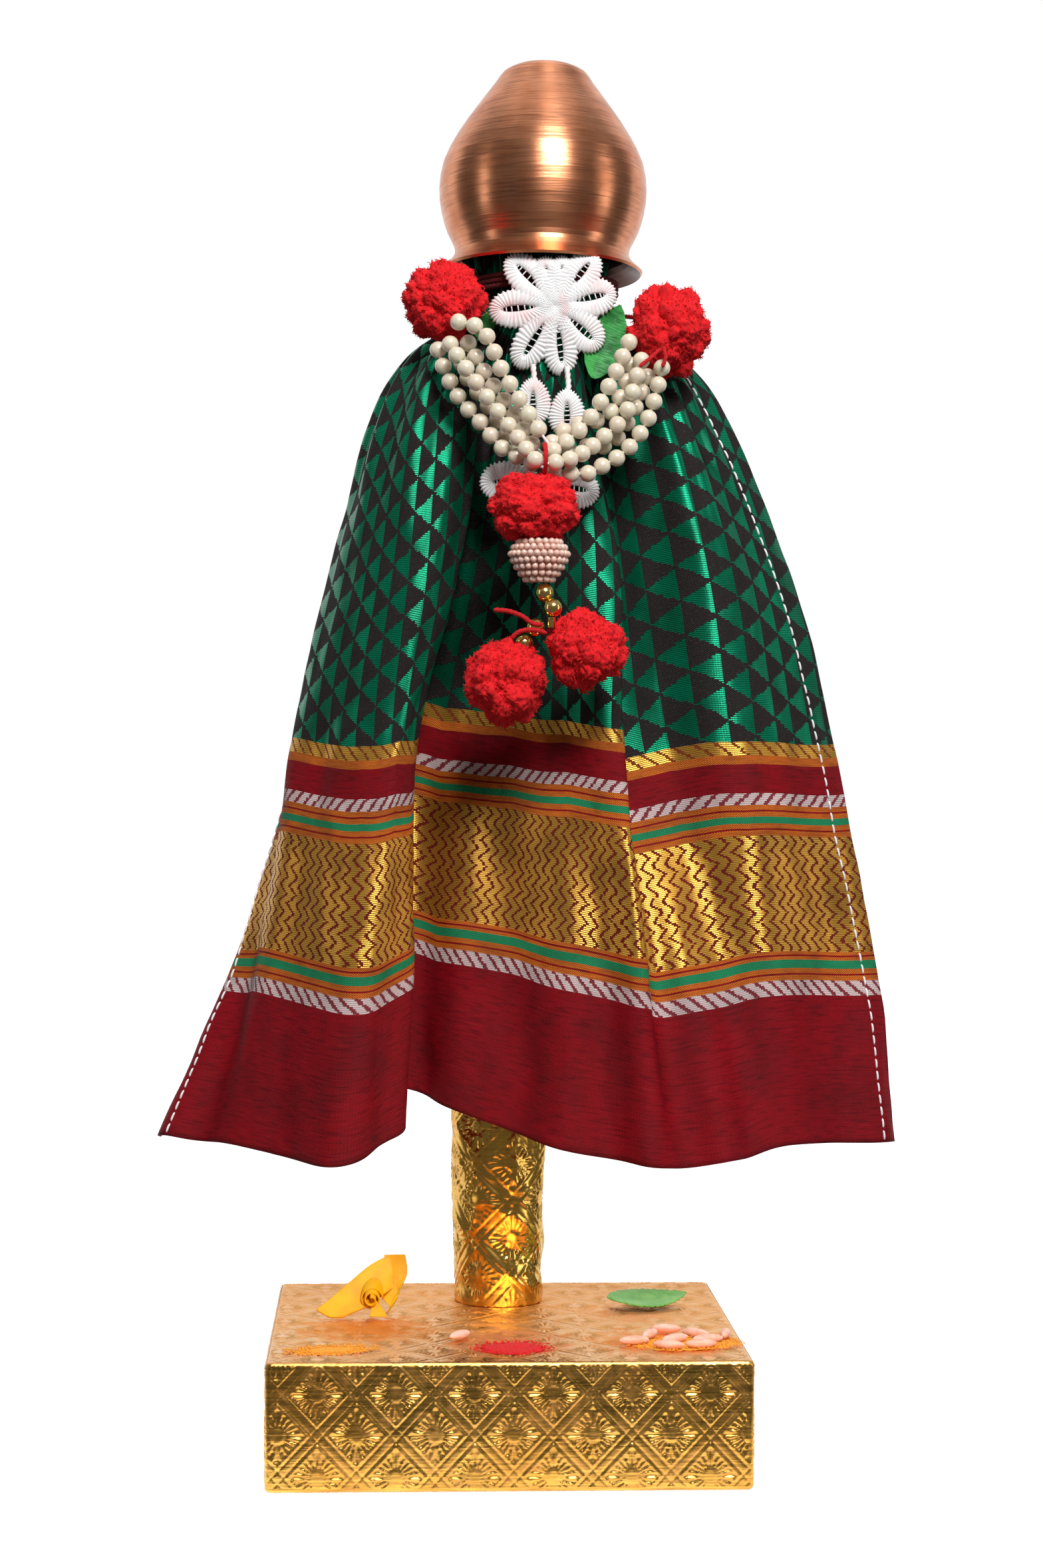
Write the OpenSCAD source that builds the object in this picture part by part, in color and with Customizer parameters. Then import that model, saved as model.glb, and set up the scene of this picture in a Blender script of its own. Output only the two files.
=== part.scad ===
// A small gudi, the standard raised on the door at the spring new year.
// A gold-foil block carries a foil-wrapped dowel, a pleated sari is tied round
// the dowel, an upturned copper pot caps it, and a bead garland hangs in front.
// Millimetres. +X is to the right seen from the front, +Y goes back, +Z is up.
// The origin is the centre of the block's underside.

/* [Base] */
// Width of the wrapped block, left to right
base_w = 102; // [96:1:120]
// Depth of the wrapped block, front to back
base_d = 96; // [90:1:120]
// Height of the wrapped block
base_h = 27.4; // [25:0.2:30]
// Radius of the block's upright corners
corner_r = 1.6; // [0.5:0.1:4]
// Thickness of the wrapping foil, with its folds
foil_t = 0.4; // [0.2:0.1:0.6]

/* [Pole] */
// Distance of the pole's foot behind the block's centre
pole_y = 24; // [20:1:26]
// Lean of the dowel to the right, in degrees
pole_lean = 2; // [0:0.5:2.5]
// Radius of the wooden dowel
dowel_r = 8; // [7:0.1:8.2]
// Depth of the dowel's socket in the block
socket_depth = 18; // [10:1:22]
// Radius of the loose foil sleeve where it meets the block
sleeve_foot_r = 10.26; // [10:0.02:10.8]
// Radius of the loose foil sleeve at its fullest
sleeve_top_r = 11.4; // [11:0.1:12]

/* [Kalash pot] */
// Largest radius of the rim
rim_r = 23.2; // [22.5:0.1:25]
// Radius of the belly
belly_r = 23.9; // [22.5:0.1:26]
// Height of the pot, rim to foot
pot_h = 47.4; // [47:0.1:49]
// Thickness of the copper sheet
pot_wall = 0.7; // [0.5:0.1:1]

/* [Sari] */
// Thickness of the sari cloth, with its hem
cloth_t = 1.2; // [0.8:0.1:1.3]
// Distance of the running stitch from the side edges
stitch_inset = 5; // [4:0.5:6]
// Distance from one stitch to the next
stitch_pitch = 2.6; // [2.2:0.1:3.5]
// Length of the thread seen in one stitch
stitch_len = 1.7; // [1.2:0.1:1.9]

/* [Garland] */
// Diameter of the pearls
pearl_d = 3.8; // [3:0.1:3.9]
// Distance from one pearl to the next
pearl_pitch = 4.0; // [3.9:0.1:4.4]
// Diameter of the gold beads
gold_d = 4.1; // [3:0.1:4.2]
// Radius of the shoulder pompoms' dense middle
shoulder_pompom_r = 8; // [7:0.1:8.2]
// Radius of the tassel pompoms' dense middle
tassel_pompom_r = 8.5; // [7:0.1:8.8]

/* [Hidden] */

// Colours
foil_gold = "#d9a441";
wood = "#c8a06a";
copper = "#a8623c";
silk_green = "#0f5a40";
silk_dark = "#1c2a26";
thread_white = "#ece6da";
lace_white = "#f4f2ee";
leaf_green = "#2f8a3a";
satin_green = "#1c6e2c";
pearl_cream = "#f1e6cf";
pearl_pink = "#e8c6b0";
yarn_red = "#d3121c";
bead_gold = "#e0b040";
ribbon_yellow = "#f4bf20";
turmeric = "#f59a1c";
kumkum = "#d21a24";
rice_pink = "#f0b394";

// Small gap left between pieces that lie against each other
gap = 0.1;
smooth = 64;

// ---- Curves ----
function unit(v) = v / norm(v);
function catmull(a, b, c, d, t) =
    0.5 * (2 * b + (c - a) * t + (2 * a - 5 * b + 4 * c - d) * t * t
    + (3 * b - a - 3 * c + d) * t * t * t);
// A smooth curve through the points, with n steps from one to the next
function spline(pts, n) = let(last = len(pts) - 1) [
    for (i = [0:last - 1]) for (k = [0:n - 1])
        catmull(pts[max(i - 1, 0)], pts[i], pts[i + 1], pts[min(i + 2, last)], k / n),
    pts[last]];
// Distance along the curve at each of its points
function lengths(pts, i = 1, found = [0]) = i == len(pts) ? found
    : lengths(pts, i + 1, concat(found, [found[i - 1] + norm(pts[i] - pts[i - 1])]));
// Point at distance s along the curve
function along(pts, ls, s, i = 1) = (ls[i] >= s || i == len(pts) - 1)
    ? pts[i - 1] + (pts[i] - pts[i - 1]) * (s - ls[i - 1]) / (ls[i] - ls[i - 1])
    : along(pts, ls, s, i + 1);

// A round rod from a to b
module rod(a, b, r, sides = 16) {
    d = b - a;
    translate(a) rotate([0, acos(d.z / norm(d)), atan2(d.y, d.x)])
        cylinder(h = norm(d), r = r, $fn = sides);
}

// A thin cord along a curve, as one closed skin with eight sides
module cord(pts, r) {
    sides = 8;
    last = len(pts) - 1;
    rings = [for (i = [0:last]) let(
        t = unit(pts[min(i + 1, last)] - pts[max(i - 1, 0)]),
        side = unit(cross(t, abs(t.z) > 0.9 ? [0, 1, 0] : [0, 0, 1])),
        up = cross(t, side))
        for (k = [0:sides - 1])
            pts[i] + r * (cos(k * 360 / sides) * side + sin(k * 360 / sides) * up)];
    walls = [for (i = [0:last - 1]) for (k = [0:sides - 1]) let(
        a = i * sides + k, b = i * sides + (k + 1) % sides)
        each [[a, b, b + sides], [a, b + sides, a + sides]]];
    foot = [[for (k = [sides - 1:-1:0]) k]];
    top = [[for (k = [0:sides - 1]) last * sides + k]];
    polyhedron(rings, concat(walls, foot, top));
}

// A pointed leaf, flat on the XY plane, from two equal arcs
module leaf_outline(long, wide) {
    r = (long * long / wide + wide) / 4;
    intersection() {
        translate([0, r - wide / 2]) circle(r, $fn = 96);
        translate([0, wide / 2 - r]) circle(r, $fn = 96);
    }
}

// ---- Base ----
module rounded_block(w, d, h, r) {
    linear_extrude(h) union() {
        square([w - 2 * r, d], center = true);
        square([w, d - 2 * r], center = true);
        for (x = [-1, 1], y = [-1, 1])
            translate([x * (w / 2 - r), y * (d / 2 - r)]) circle(r, $fn = 32);
    }
}

// Moves its children from the pole's own upright axis to where the pole stands
module on_pole() {
    translate([0, pole_y, base_h]) rotate([0, pole_lean, 0]) children();
}

module base_block() {
    color(wood) difference() {
        translate([0, 0, foil_t])
            rounded_block(base_w - 2 * foil_t, base_d - 2 * foil_t,
                base_h - 2 * foil_t, corner_r - foil_t / 2);
        on_pole() translate([0, 0, -socket_depth])
            cylinder(h = socket_depth + 5, r = dowel_r + gap / 2, $fn = smooth);
    }
}

module base_foil() {
    color(foil_gold) difference() {
        rounded_block(base_w, base_d, base_h, corner_r);
        translate([0, 0, foil_t])
            rounded_block(base_w - 2 * foil_t, base_d - 2 * foil_t,
                base_h - 2 * foil_t, corner_r - foil_t / 2);
        on_pole() translate([0, 0, -5])
            cylinder(h = 10, r = dowel_r + gap / 2, $fn = smooth);
    }
}

// ---- Pole ----
// The dowel ends just under the pot's flat foot
dowel_top = 283.4;
dowel_tip_r = 4.5;
dowel_taper = 14;

module pole_dowel() {
    color(wood) on_pole() {
        translate([0, 0, -socket_depth])
            cylinder(h = socket_depth + dowel_top - dowel_taper, r = dowel_r, $fn = smooth);
        translate([0, 0, dowel_top - dowel_taper])
            cylinder(h = dowel_taper, r1 = dowel_r, r2 = dowel_tip_r, $fn = smooth);
    }
}

// Heights, above the block, at which the loose sleeve is fullest and is pinched in
sleeve_full_h = 38;
sleeve_shoulder_h = 74;
sleeve_pinch_h = 86;
foil_top_h = 224;

module pole_foil() {
    wrap_r = dowel_r + foil_t + gap / 2;
    color(foil_gold) difference() {
        union() {
            translate([0, pole_y, base_h]) difference() {
                rotate_extrude($fn = smooth) polygon([[0, 0], [sleeve_foot_r, 0],
                    [sleeve_top_r, sleeve_full_h], [sleeve_top_r, sleeve_shoulder_h],
                    [wrap_r + 3, sleeve_pinch_h], [0, sleeve_pinch_h]]);
                translate([0, 0, -1]) rotate_extrude($fn = smooth) polygon([[0, 0],
                    [sleeve_foot_r - foil_t, 0], [sleeve_top_r - foil_t, sleeve_full_h],
                    [sleeve_top_r - foil_t, sleeve_shoulder_h],
                    [wrap_r + 2.5, sleeve_pinch_h - 1], [0, sleeve_pinch_h - 1]]);
            }
            on_pole() translate([0, 0, sleeve_pinch_h - 2])
                cylinder(h = foil_top_h - sleeve_pinch_h + 2, r = wrap_r, $fn = smooth);
        }
        on_pole() translate([0, 0, -5])
            cylinder(h = foil_top_h + 10, r = dowel_r + gap / 2, $fn = smooth);
    }
}

// ---- Kalash pot, upturned over the pole's top ----
rim_centre = [9.15, 24, 264.4];
pot_tilt_back = 3.5;
pot_tilt_right = 0.9;
neck_r = 20.1;
foot_r = 7.4;
// Radius and height of the outside, from the rim up to the foot
pot_side = spline([[rim_r, 0], [rim_r - 1.9, 1.7], [neck_r, 3.6], [neck_r + 0.2, 5.8],
    [neck_r + 1.8, 9], [belly_r - 0.6, 13.5], [belly_r, 19], [belly_r - 0.9, 25.2],
    [belly_r - 4, 31.5], [15.9, 37.5], [11.6, pot_h - 4], [9.7, pot_h - 1.3],
    [foot_r, pot_h]], 2);
function inward(pts, i) = let(t = unit(pts[min(i + 1, len(pts) - 1)] - pts[max(i - 1, 0)]))
    pts[i] + pot_wall * [-t.y, t.x] * (i == len(pts) - 1 ? 0 : 1);
pot_inside = [for (i = [0:len(pot_side) - 2]) inward(pot_side, i)];

module kalash_pot() {
    color(copper) translate(rim_centre) rotate([-pot_tilt_back, pot_tilt_right, 0])
        rotate_extrude($fn = 96) polygon(concat(pot_side, [[0, pot_h], [0, pot_h - pot_wall],
            [foot_r, pot_h - pot_wall]], [for (i = [len(pot_inside) - 1:-1:0]) pot_inside[i]]));
}

// ---- Sari ----
// Each pleat line: hem point, then X and Y at each level above it, then the
// angle at which the line meets the tied neck
levels = [110, 156.5, 192, 226];
pleats = [
    [[-78, 16, 66.5], [-59, 25], [-41, 33], [-31, 36], [-22, 34], 205],
    [[-73, 11, 66.5], [-57, 18], [-46, 27], [-37, 28], [-28, 27], 192],
    [[-60, 3, 66], [-53, 7], [-47, 14], [-40, 16], [-31, 17], 178],
    [[-47, -7, 64], [-42, -4], [-40, 3], [-34, 3], [-27, 7], 165],
    [[-37, -12, 63], [-32, -9], [-31, -4], [-25, -3], [-19, 1], 153],
    [[-28, -9, 66], [-25, -8], [-23, -6], [-16, -4], [-11, 2], 142],
    [[-22.5, 0, 71], [-21, -1], [-20, 0], [-11, 3], [-6, 8], 134],
    [[-29, 8, 76], [-28, 7], [-27, 10], [-18, 12], [-10, 12], 126],
    [[-23, 10, 78], [-22, 12], [-21, 14], [-13, 15], [-6, 14], 118],
    [[-11, 2, 74], [-9, 5], [-8, 9], [-5, 11], [-1, 11], 108],
    [[10, -8, 67], [10, -4], [8, 3], [6, 5], [5, 6], 98],
    [[27, -14, 64], [24, -10], [20, -4], [18, -1], [14, 3], 86],
    [[34, -15, 63], [30, -12], [26.5, -4], [26, 0], [20, 6], 76],
    [[41, -14, 63], [33, -6], [22, 4], [21, 8], [19, 12], 66],
    [[54, -10, 64.5], [46, -3], [36, 4], [32, 7], [27, 11], 52],
    [[64, -3, 66.5], [59, -2], [51, 0], [46, 2], [37, 8], 38],
    [[84, 4, 66], [78, 7], [69, 8], [60, 10], [47, 14], 18],
    [[88.5, 10, 65.5], [84, 12], [76, 14], [67, 16], [53.5, 19], 4]];
neck_centre = [8.8, 24];
neck_ring_r = 16;
// Heights of the collar, of the tied neck and of the cloth's top inside the pot
collar_z = 243;
neck_z = [255, 270, 284];
collar_flare = 0.62;
function neck_point(a) = neck_centre + neck_ring_r * [cos(a), -sin(a)];
function pleat_line(p) = let(n = neck_point(p[5]), c = n + (p[4] - n) * collar_flare) concat(
    [p[0]], [for (i = [0:3]) [p[i + 1].x, p[i + 1].y, levels[i]]],
    [[c.x, c.y, collar_z]], [for (z = neck_z) [n.x, n.y, z]]);
pleat_steps = 2;
level_steps = 2;
lines = [for (p = pleats) pleat_line(p)];
rows = [for (j = [0:len(lines[0]) - 1]) spline([for (l = lines) l[j]], pleat_steps)];
cloth = [for (i = [0:len(rows[0]) - 1]) spline([for (r = rows) r[i]], level_steps)];
columns = len(cloth);
heights = len(cloth[0]);
function outward(i, j) = unit(cross(
    cloth[min(i + 1, columns - 1)][j] - cloth[max(i - 1, 0)][j],
    cloth[i][min(j + 1, heights - 1)] - cloth[i][max(j - 1, 0)]));

module drape_cloth() {
    outer = [for (i = [0:columns - 1]) for (j = [0:heights - 1]) cloth[i][j]];
    inner = [for (i = [0:columns - 1]) for (j = [0:heights - 1])
        cloth[i][j] - cloth_t * outward(i, j)];
    back = columns * heights;
    top = heights - 1;
    end = (columns - 1) * heights;
    front_skin = [for (i = [0:columns - 2]) for (j = [0:heights - 2])
        let(a = i * heights + j, b = a + heights)
        each [[a, a + 1, b + 1], [a, b + 1, b]]];
    back_skin = [for (f = front_skin) [f[2] + back, f[1] + back, f[0] + back]];
    hem = [for (i = [0:columns - 2]) let(a = i * heights, b = a + heights)
        each [[a, b, b + back], [a, b + back, a + back]]];
    head = [for (i = [0:columns - 2]) let(a = i * heights + top, b = a + heights)
        each [[b, a, a + back], [b, a + back, b + back]]];
    left = [for (j = [0:heights - 2])
        each [[j + 1, j, j + back], [j + 1, j + back, j + 1 + back]]];
    right = [for (j = [0:heights - 2]) let(a = end + j)
        each [[a, a + 1, a + 1 + back], [a, a + 1 + back, a + back]]];
    color(silk_green)
        polyhedron(concat(outer, inner), concat(front_skin, back_skin, hem, head, left, right));
}

// The sari's inner pleats, bunched round the pole under the tie
bunch_inner_r = 8.9;
bunch_outer_r = 13.2;
module cloth_bunch() {
    color(silk_dark) on_pole() translate([0, 0, 220]) difference() {
        cylinder(h = 34, r = bunch_outer_r, $fn = smooth);
        translate([0, 0, -1]) cylinder(h = 36, r = bunch_inner_r, $fn = smooth);
    }
}

// Running stitches just outside the cloth, up one side edge
stitch_r = 0.3;
stitch_lift = 0.85;
stitch_top = 254;
module edge_stitches(from_left) {
    line = [for (j = [0:heights - 4]) if (cloth[0][j].z < stitch_top) let(
        row = [for (i = [0:6]) cloth[from_left ? i : columns - 1 - i][j]],
        i = from_left ? 1 : columns - 2)
        along(row, lengths(row), stitch_inset) + stitch_lift * outward(i, j)];
    run = lengths(line);
    color(thread_white) for (s = [0.6:stitch_pitch:run[len(run) - 1] - stitch_len])
        rod(along(line, run, s), along(line, run, s + stitch_len), stitch_r);
}

module ring(r, thread_r) {
    rotate_extrude($fn = 96) translate([r, 0]) circle(thread_r, $fn = 24);
}

module neck_tie() {
    tie_r = 0.7;
    color(yarn_red) translate([neck_centre.x, neck_centre.y, 258])
        ring(neck_ring_r + 0.3 + tie_r, tie_r);
}

// ---- Garland ----
left_pompom_at = [-13.6, 4, 254.4];
right_pompom_at = [36.6, 4, 248.4];
gather_at = [8, -18, 216.5];
thread_r = 0.3;

// Ties the two shoulder pompoms together behind the sari's neck
module garland_tie() {
    color(yarn_red) cord(spline([[-13.5, 13, 255.5], [-14, 24, 256.5], [-8, 37, 257],
        [3, 44, 257], [15, 44, 257], [26, 38, 256.5], [33, 28, 254.5], [36.5, 14, 250.5]], 4), 0.5);
}

// Each strand's route, from the left shoulder to where it is gathered, and from there
// to the right shoulder
strands = [
    [[[8, -14.5, 222.3], [4.5, -12.5, 228], [-1, -11, 237],
      [-5.5, -8.5, 246.5], [-13, -5, 249]],
     [[8, -16, 218.5], [12.8, -12.9, 221.6], [18.5, -11.5, 227.5], [23, -10, 235.5],
      [27.5, -6, 245.5]]],
    [[[8, -19.7, 216.2], [5.5, -18.5, 217.5], [1.5, -13, 223.5], [-2.5, -11, 229],
      [-7, -10.5, 235], [-11, -8, 241], [-13, -4, 245]],
     [[8, -19.7, 216.2], [14.5, -15.5, 218], [20.5, -10, 222.5], [26, -9, 228],
      [28, -9.5, 234.5], [30.5, -6, 243]]],
    [[[7.5, -14.5, 216], [-0.5, -10.5, 220], [-5.5, -8, 226], [-10.5, -5.5, 232],
      [-14, -3, 239.5], [-15.5, -1.5, 245]],
     [[7.5, -14.5, 216], [16, -13, 214.5], [21.5, -10.5, 217], [26, -9, 220],
      [30, -7.5, 225], [32.5, -6.5, 231], [35, -4.5, 241.5]]],
    [[[8, -11.4, 219.2], [5, -10.2, 222], [1.5, -8, 228.5], [-3, -7, 234.5],
      [-6.5, -5, 240.5], [-8.5, -3, 244.5]],
     [[8, -11.4, 219.2], [13.2, -8.2, 225], [21, -7, 227.5], [25, -5.5, 232],
      [28.5, -3, 242.5]]],
    [[[8, -8.3, 216.6], [0.5, -6.5, 222.5], [-3.5, -5, 229.5], [-8.4, -2.8, 236.5],
      [-10.2, -0.4, 241.5]],
     [[8, -8.3, 216.6], [17, -7.5, 221], [23.5, -5.2, 222.3], [28.5, -4, 230],
      [31.5, -1.5, 237.5]]]];
// How far from the gather each strand's first pearls are, clear of the loop
first_pearl = [2.6, 2.6, 2.6, 3.48, 2.9];

// Where the pearls sit along one side of a strand, from the gather outwards
function pearls(i, side) = let(path = spline(strands[i][side], 8), run = lengths(path),
    count = floor((run[len(run) - 1] - first_pearl[i]) / pearl_pitch))
    [for (k = [0:count]) along(path, run, first_pearl[i] + k * pearl_pitch)];
function reversed(pts) = [for (i = [len(pts) - 1:-1:0]) pts[i]];

module pearl_strand(i) {
    color(pearl_cream) for (side = [0, 1], p = pearls(i, side))
        translate(p) sphere(d = pearl_d, $fn = 32);
}

// The threads that the pearls are strung on, one for each strand
module pearl_threads() {
    color(thread_white) for (i = [0:len(strands) - 1])
        cord(concat(reversed(pearls(i, 0)), [strands[i][0][0]], pearls(i, 1)), thread_r);
}

// Red thread drawn round all the strands, from which the pendant hangs
module gather_loop() {
    turn = [for (a = [0:15:345]) gather_at + [0, 3.8 + 7 * cos(a), 0.9 + 3.6 * sin(a)]];
    sides = 8;
    count = len(turn);
    rings = [for (i = [0:count - 1]) let(
        t = unit(turn[(i + 1) % count] - turn[(i + count - 1) % count]), up = cross(t, [1, 0, 0]))
        for (k = [0:sides - 1]) let(a = k * 360 / sides)
            turn[i] + 0.4 * (cos(a) * [1, 0, 0] + sin(a) * up)];
    color(yarn_red) polyhedron(rings, [for (i = [0:count - 1]) for (k = [0:sides - 1]) let(
        a = i * sides + k, b = i * sides + (k + 1) % sides, c = ((i + 1) % count) * sides)
        each [[a, b, c + (k + 1) % sides], [a, c + (k + 1) % sides, c + k]]]);
}

module pompom(at, r) {
    color(yarn_red) translate(at) sphere(r, $fn = 48);
}

module right_pompom_threads() {
    color(yarn_red) {
        cord(spline([[34, -6.3, 243], [31.9, -9.1, 240.8], [29.4, -10.4, 238.6]], 3), thread_r);
        cord(spline([[34.6, -7.4, 243.4], [35, -8.2, 241], [34.2, -8.4, 238.6]], 3), thread_r);
    }
}

// ---- Pendant ----
module centre_pompom() {
    wide = 9.6;
    tall = 6.7;
    color(yarn_red) translate([5.7, -18, 207.1]) rotate_extrude($fn = 64)
        polygon([for (a = [-90:7.5:90]) [wide * cos(a), tall * sin(a)]]);
}

bead_at = [6.8, -18, 195.3];
// Radius and height of each row of seed pearls, top to bottom
seed_rows = [[4.6, 4.1], [5.6, 2.9], [6.2, 1.5], [5.7, 0.1], [5, -1.3], [4.1, -2.7], [3, -4]];
seed_r = 0.7;

module bead_core() {
    inset = seed_r + 0.3;
    color(pearl_pink) translate(bead_at) rotate_extrude($fn = smooth) polygon(concat(
        [[0, 4.6]], [[seed_rows[0].x - inset, 4.6]],
        [for (p = seed_rows) [p.x - inset, p.y]], [[2.2, -4.6], [0, -4.6]]));
}

module bead_seed_pearls() {
    color(pearl_pink) translate(bead_at) for (p = seed_rows) {
        count = floor(PI * p.x / (seed_r + 0.03));
        for (k = [0:count - 1]) rotate([0, 0, k * 360 / count]) translate([p.x, 0, p.y])
            sphere(seed_r, $fn = 16);
    }
}

module gold_bead(at) {
    color(bead_gold) translate(at) sphere(d = gold_d, $fn = 32);
}

gold_upper_at = [8, -18, 188.4];
gold_lower_at = [9.7, -19.9, 185.1];
crimp_at = [9.4, -20.3, 181.9];
module gold_crimp() {
    color(bead_gold) translate(crimp_at) difference() {
        cylinder(h = 2.2, r = 0.9, center = true, $fn = 32);
        cylinder(h = 3, r = 0.5, center = true, $fn = 32);
    }
}

module yarn_ends() {
    color(yarn_red) {
        cord(spline([[7.6, -22, 181.4], [5.2, -22.2, 181.6], [3, -22.4, 183.1],
            [0, -22.4, 184.2], [-3.3, -22, 184.5]], 4), 0.45);
        cord(spline([[8.4, -22, 179.4], [6.6, -22.3, 180], [4.2, -22.4, 180.2],
            [2, -22.3, 179.6], [0.6, -22, 178.2]], 4), 0.45);
    }
}

// ---- Tassels ----
tassel_left_at = [-0.3, -18.5, 169.2];
tassel_right_at = [17.2, -19, 176.2];
// The right pompom's dense middle is smaller, as its yarn is looser
tassel_right_shrink = 0.9;
tassel_left_bead_at = [[6, -19.4, 180.9], [3.5, -19, 177.4]];

module tassel_left_beads() {
    for (p = tassel_left_bead_at) gold_bead(p);
}

module tassel_left_thread() {
    color(yarn_red) rod([9.2, -20.1, 180.3], [8.6, -20, 180.4], thread_r);
}

module tassel_right_thread() {
    color(yarn_red) rod([9.6, -20, 180.3], [10.2, -19.8, 180], thread_r);
}

// ---- Lace, satin leaves ----
// One padded petal of lace, flat in the XY plane, pointing along +X from the origin
module lace_petal(long, wide) {
    translate([long / 2, 0]) difference() {
        leaf_outline(long * 1.12, wide);
        translate([long * 0.14, 0]) leaf_outline(long * 0.42, wide * 0.3);
    }
}

// Stands its children up, facing the front
module facing_front() {
    rotate([90, 0, 0]) children();
}

lace_t = 1.6;
module lace_flower(angles, long, wide) {
    linear_extrude(lace_t, center = true) union() {
        circle(2.2, $fn = 32);
        for (a = angles) rotate(a) lace_petal(long, wide);
    }
}

module lace_flower_upper() {
    color(lace_white) translate([10.9, 2.4, 251.8]) facing_front()
        lace_flower([-2, 42, 138, 172, 244, 282, 330], 13, 7.4);
}

module lace_flower_lower() {
    color(lace_white) translate([8, -3.5, 213.4]) facing_front()
        lace_flower([-8, 172, 245, 295], 12.5, 7.4);
}

module lace_drop(at, stem) {
    color(lace_white) translate(at) facing_front() linear_extrude(lace_t, center = true)
        union() {
            difference() {
                circle(3.7, $fn = 48);
                circle(1.1, $fn = 32);
            }
            translate([-0.5, 3]) square([1, stem]);
        }
}

module satin_leaf(at, turn, long, wide) {
    color(satin_green) translate(at) facing_front() rotate(turn)
        linear_extrude(0.7, center = true) leaf_outline(long, wide);
}

// ---- Offerings on the block ----
module yellow_ribbon_flower() {
    ribbon_t = 0.8;
    color(ribbon_yellow) union() {
        translate([-32.5, 5, 34.2]) rotate([0, 0, 8]) rotate([0, -28, 0]) rotate([62, 0, 0])
            linear_extrude(ribbon_t, center = true) leaf_outline(22, 10.5);
        translate([-24.6, 6, 34.4]) rotate([0, 0, -20]) rotate([0, -68, 0]) rotate([55, 0, 0])
            linear_extrude(ribbon_t, center = true) leaf_outline(13, 6);
        translate([-29.3, 2.4, 33]) rotate([62, -20, 0]) difference() {
            cylinder(h = 5, r = 2.4, center = true, $fn = 48);
            translate([0, 0, 1]) cylinder(h = 5, r = 1.6, center = true, $fn = 48);
        }
        translate([-27.4, 1.4, 30.4]) rotate([50, 0, 25]) rotate([0, 20, 0])
            linear_extrude(ribbon_t, center = true) square([4.4, 6], center = true);
    }
}

module green_leaf() {
    color(leaf_green) translate([33.5, 13, base_h + gap / 2]) rotate([0, 0, 35])
        linear_extrude(0.6) leaf_outline(22, 12);
}

module powder_spot(at, r) {
    translate([at.x, at.y, base_h + gap / 2]) cylinder(h = 0.5, r1 = r, r2 = r - 0.8, $fn = 48);
}

module rice_grains() {
    grain = [for (a = [-90:22.5:90]) [cos(a), 3.4 * sin(a)]];
    places = [[27, -31, 10], [31, -24, 60], [34, -36, -15], [36, -29, 30], [41, -35, 5],
        [41, -23, -35], [43, -29.5, 10], [47.4, -24, 75], [35, -18, -5], [-10, -24, 50]];
    color(rice_pink) for (p = places) translate([p.x, p.y, base_h + 1 + gap / 2])
        rotate([0, 90, p.z]) rotate_extrude($fn = 32) polygon(grain);
}

base_block();
base_foil();
pole_dowel();
pole_foil();
kalash_pot();
drape_cloth();
cloth_bunch();
edge_stitches(true);  // left_edge_stitches
edge_stitches(false);  // right_edge_stitches
neck_tie();
garland_tie();
lace_flower_upper();
lace_drop([6.1, -1, 231.5], 5);  // lace_drop_left
lace_drop([13.7, -1, 229.1], 7);  // lace_drop_right
lace_flower_lower();
satin_leaf([22.9, 5, 246], 70, 18, 9);  // satin_leaf_right
satin_leaf([-4.2, 8.3, 250], 60, 8, 4);  // satin_leaf_left
pearl_strand(0);  // pearl_strand_1
pearl_strand(1);  // pearl_strand_2
pearl_strand(2);  // pearl_strand_3
pearl_strand(3);  // pearl_strand_4
pearl_strand(4);  // pearl_strand_5
pearl_threads();
gather_loop();
pompom(left_pompom_at, shoulder_pompom_r);  // left_pompom
pompom(right_pompom_at, shoulder_pompom_r + 0.4);  // right_pompom
right_pompom_threads();
centre_pompom();
bead_core();
bead_seed_pearls();
gold_bead(gold_upper_at);  // gold_bead_upper
gold_bead(gold_lower_at);  // gold_bead_lower
gold_crimp();
yarn_ends();
tassel_left_beads();
tassel_left_thread();
pompom(tassel_left_at, tassel_pompom_r);  // tassel_left_pompom
tassel_right_thread();
pompom(tassel_right_at, tassel_pompom_r - tassel_right_shrink);  // tassel_right_pompom
yellow_ribbon_flower();
green_leaf();
color(turmeric) powder_spot([-38, -35], 7);  // turmeric_spot
color(kumkum) powder_spot([0, -34], 7);  // kumkum_spot
rice_grains();
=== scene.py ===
"""Looks of a small gudi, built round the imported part.

Points and sizes are in millimetres in the row frame and are turned into metres when a mesh is
made. Front is -Y, up is +Z. Every piece rides on a CAD body and names its material slot.
"""

import math

import bmesh
import bpy
import numpy as np
from mathutils import Matrix, Vector, noise


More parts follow.
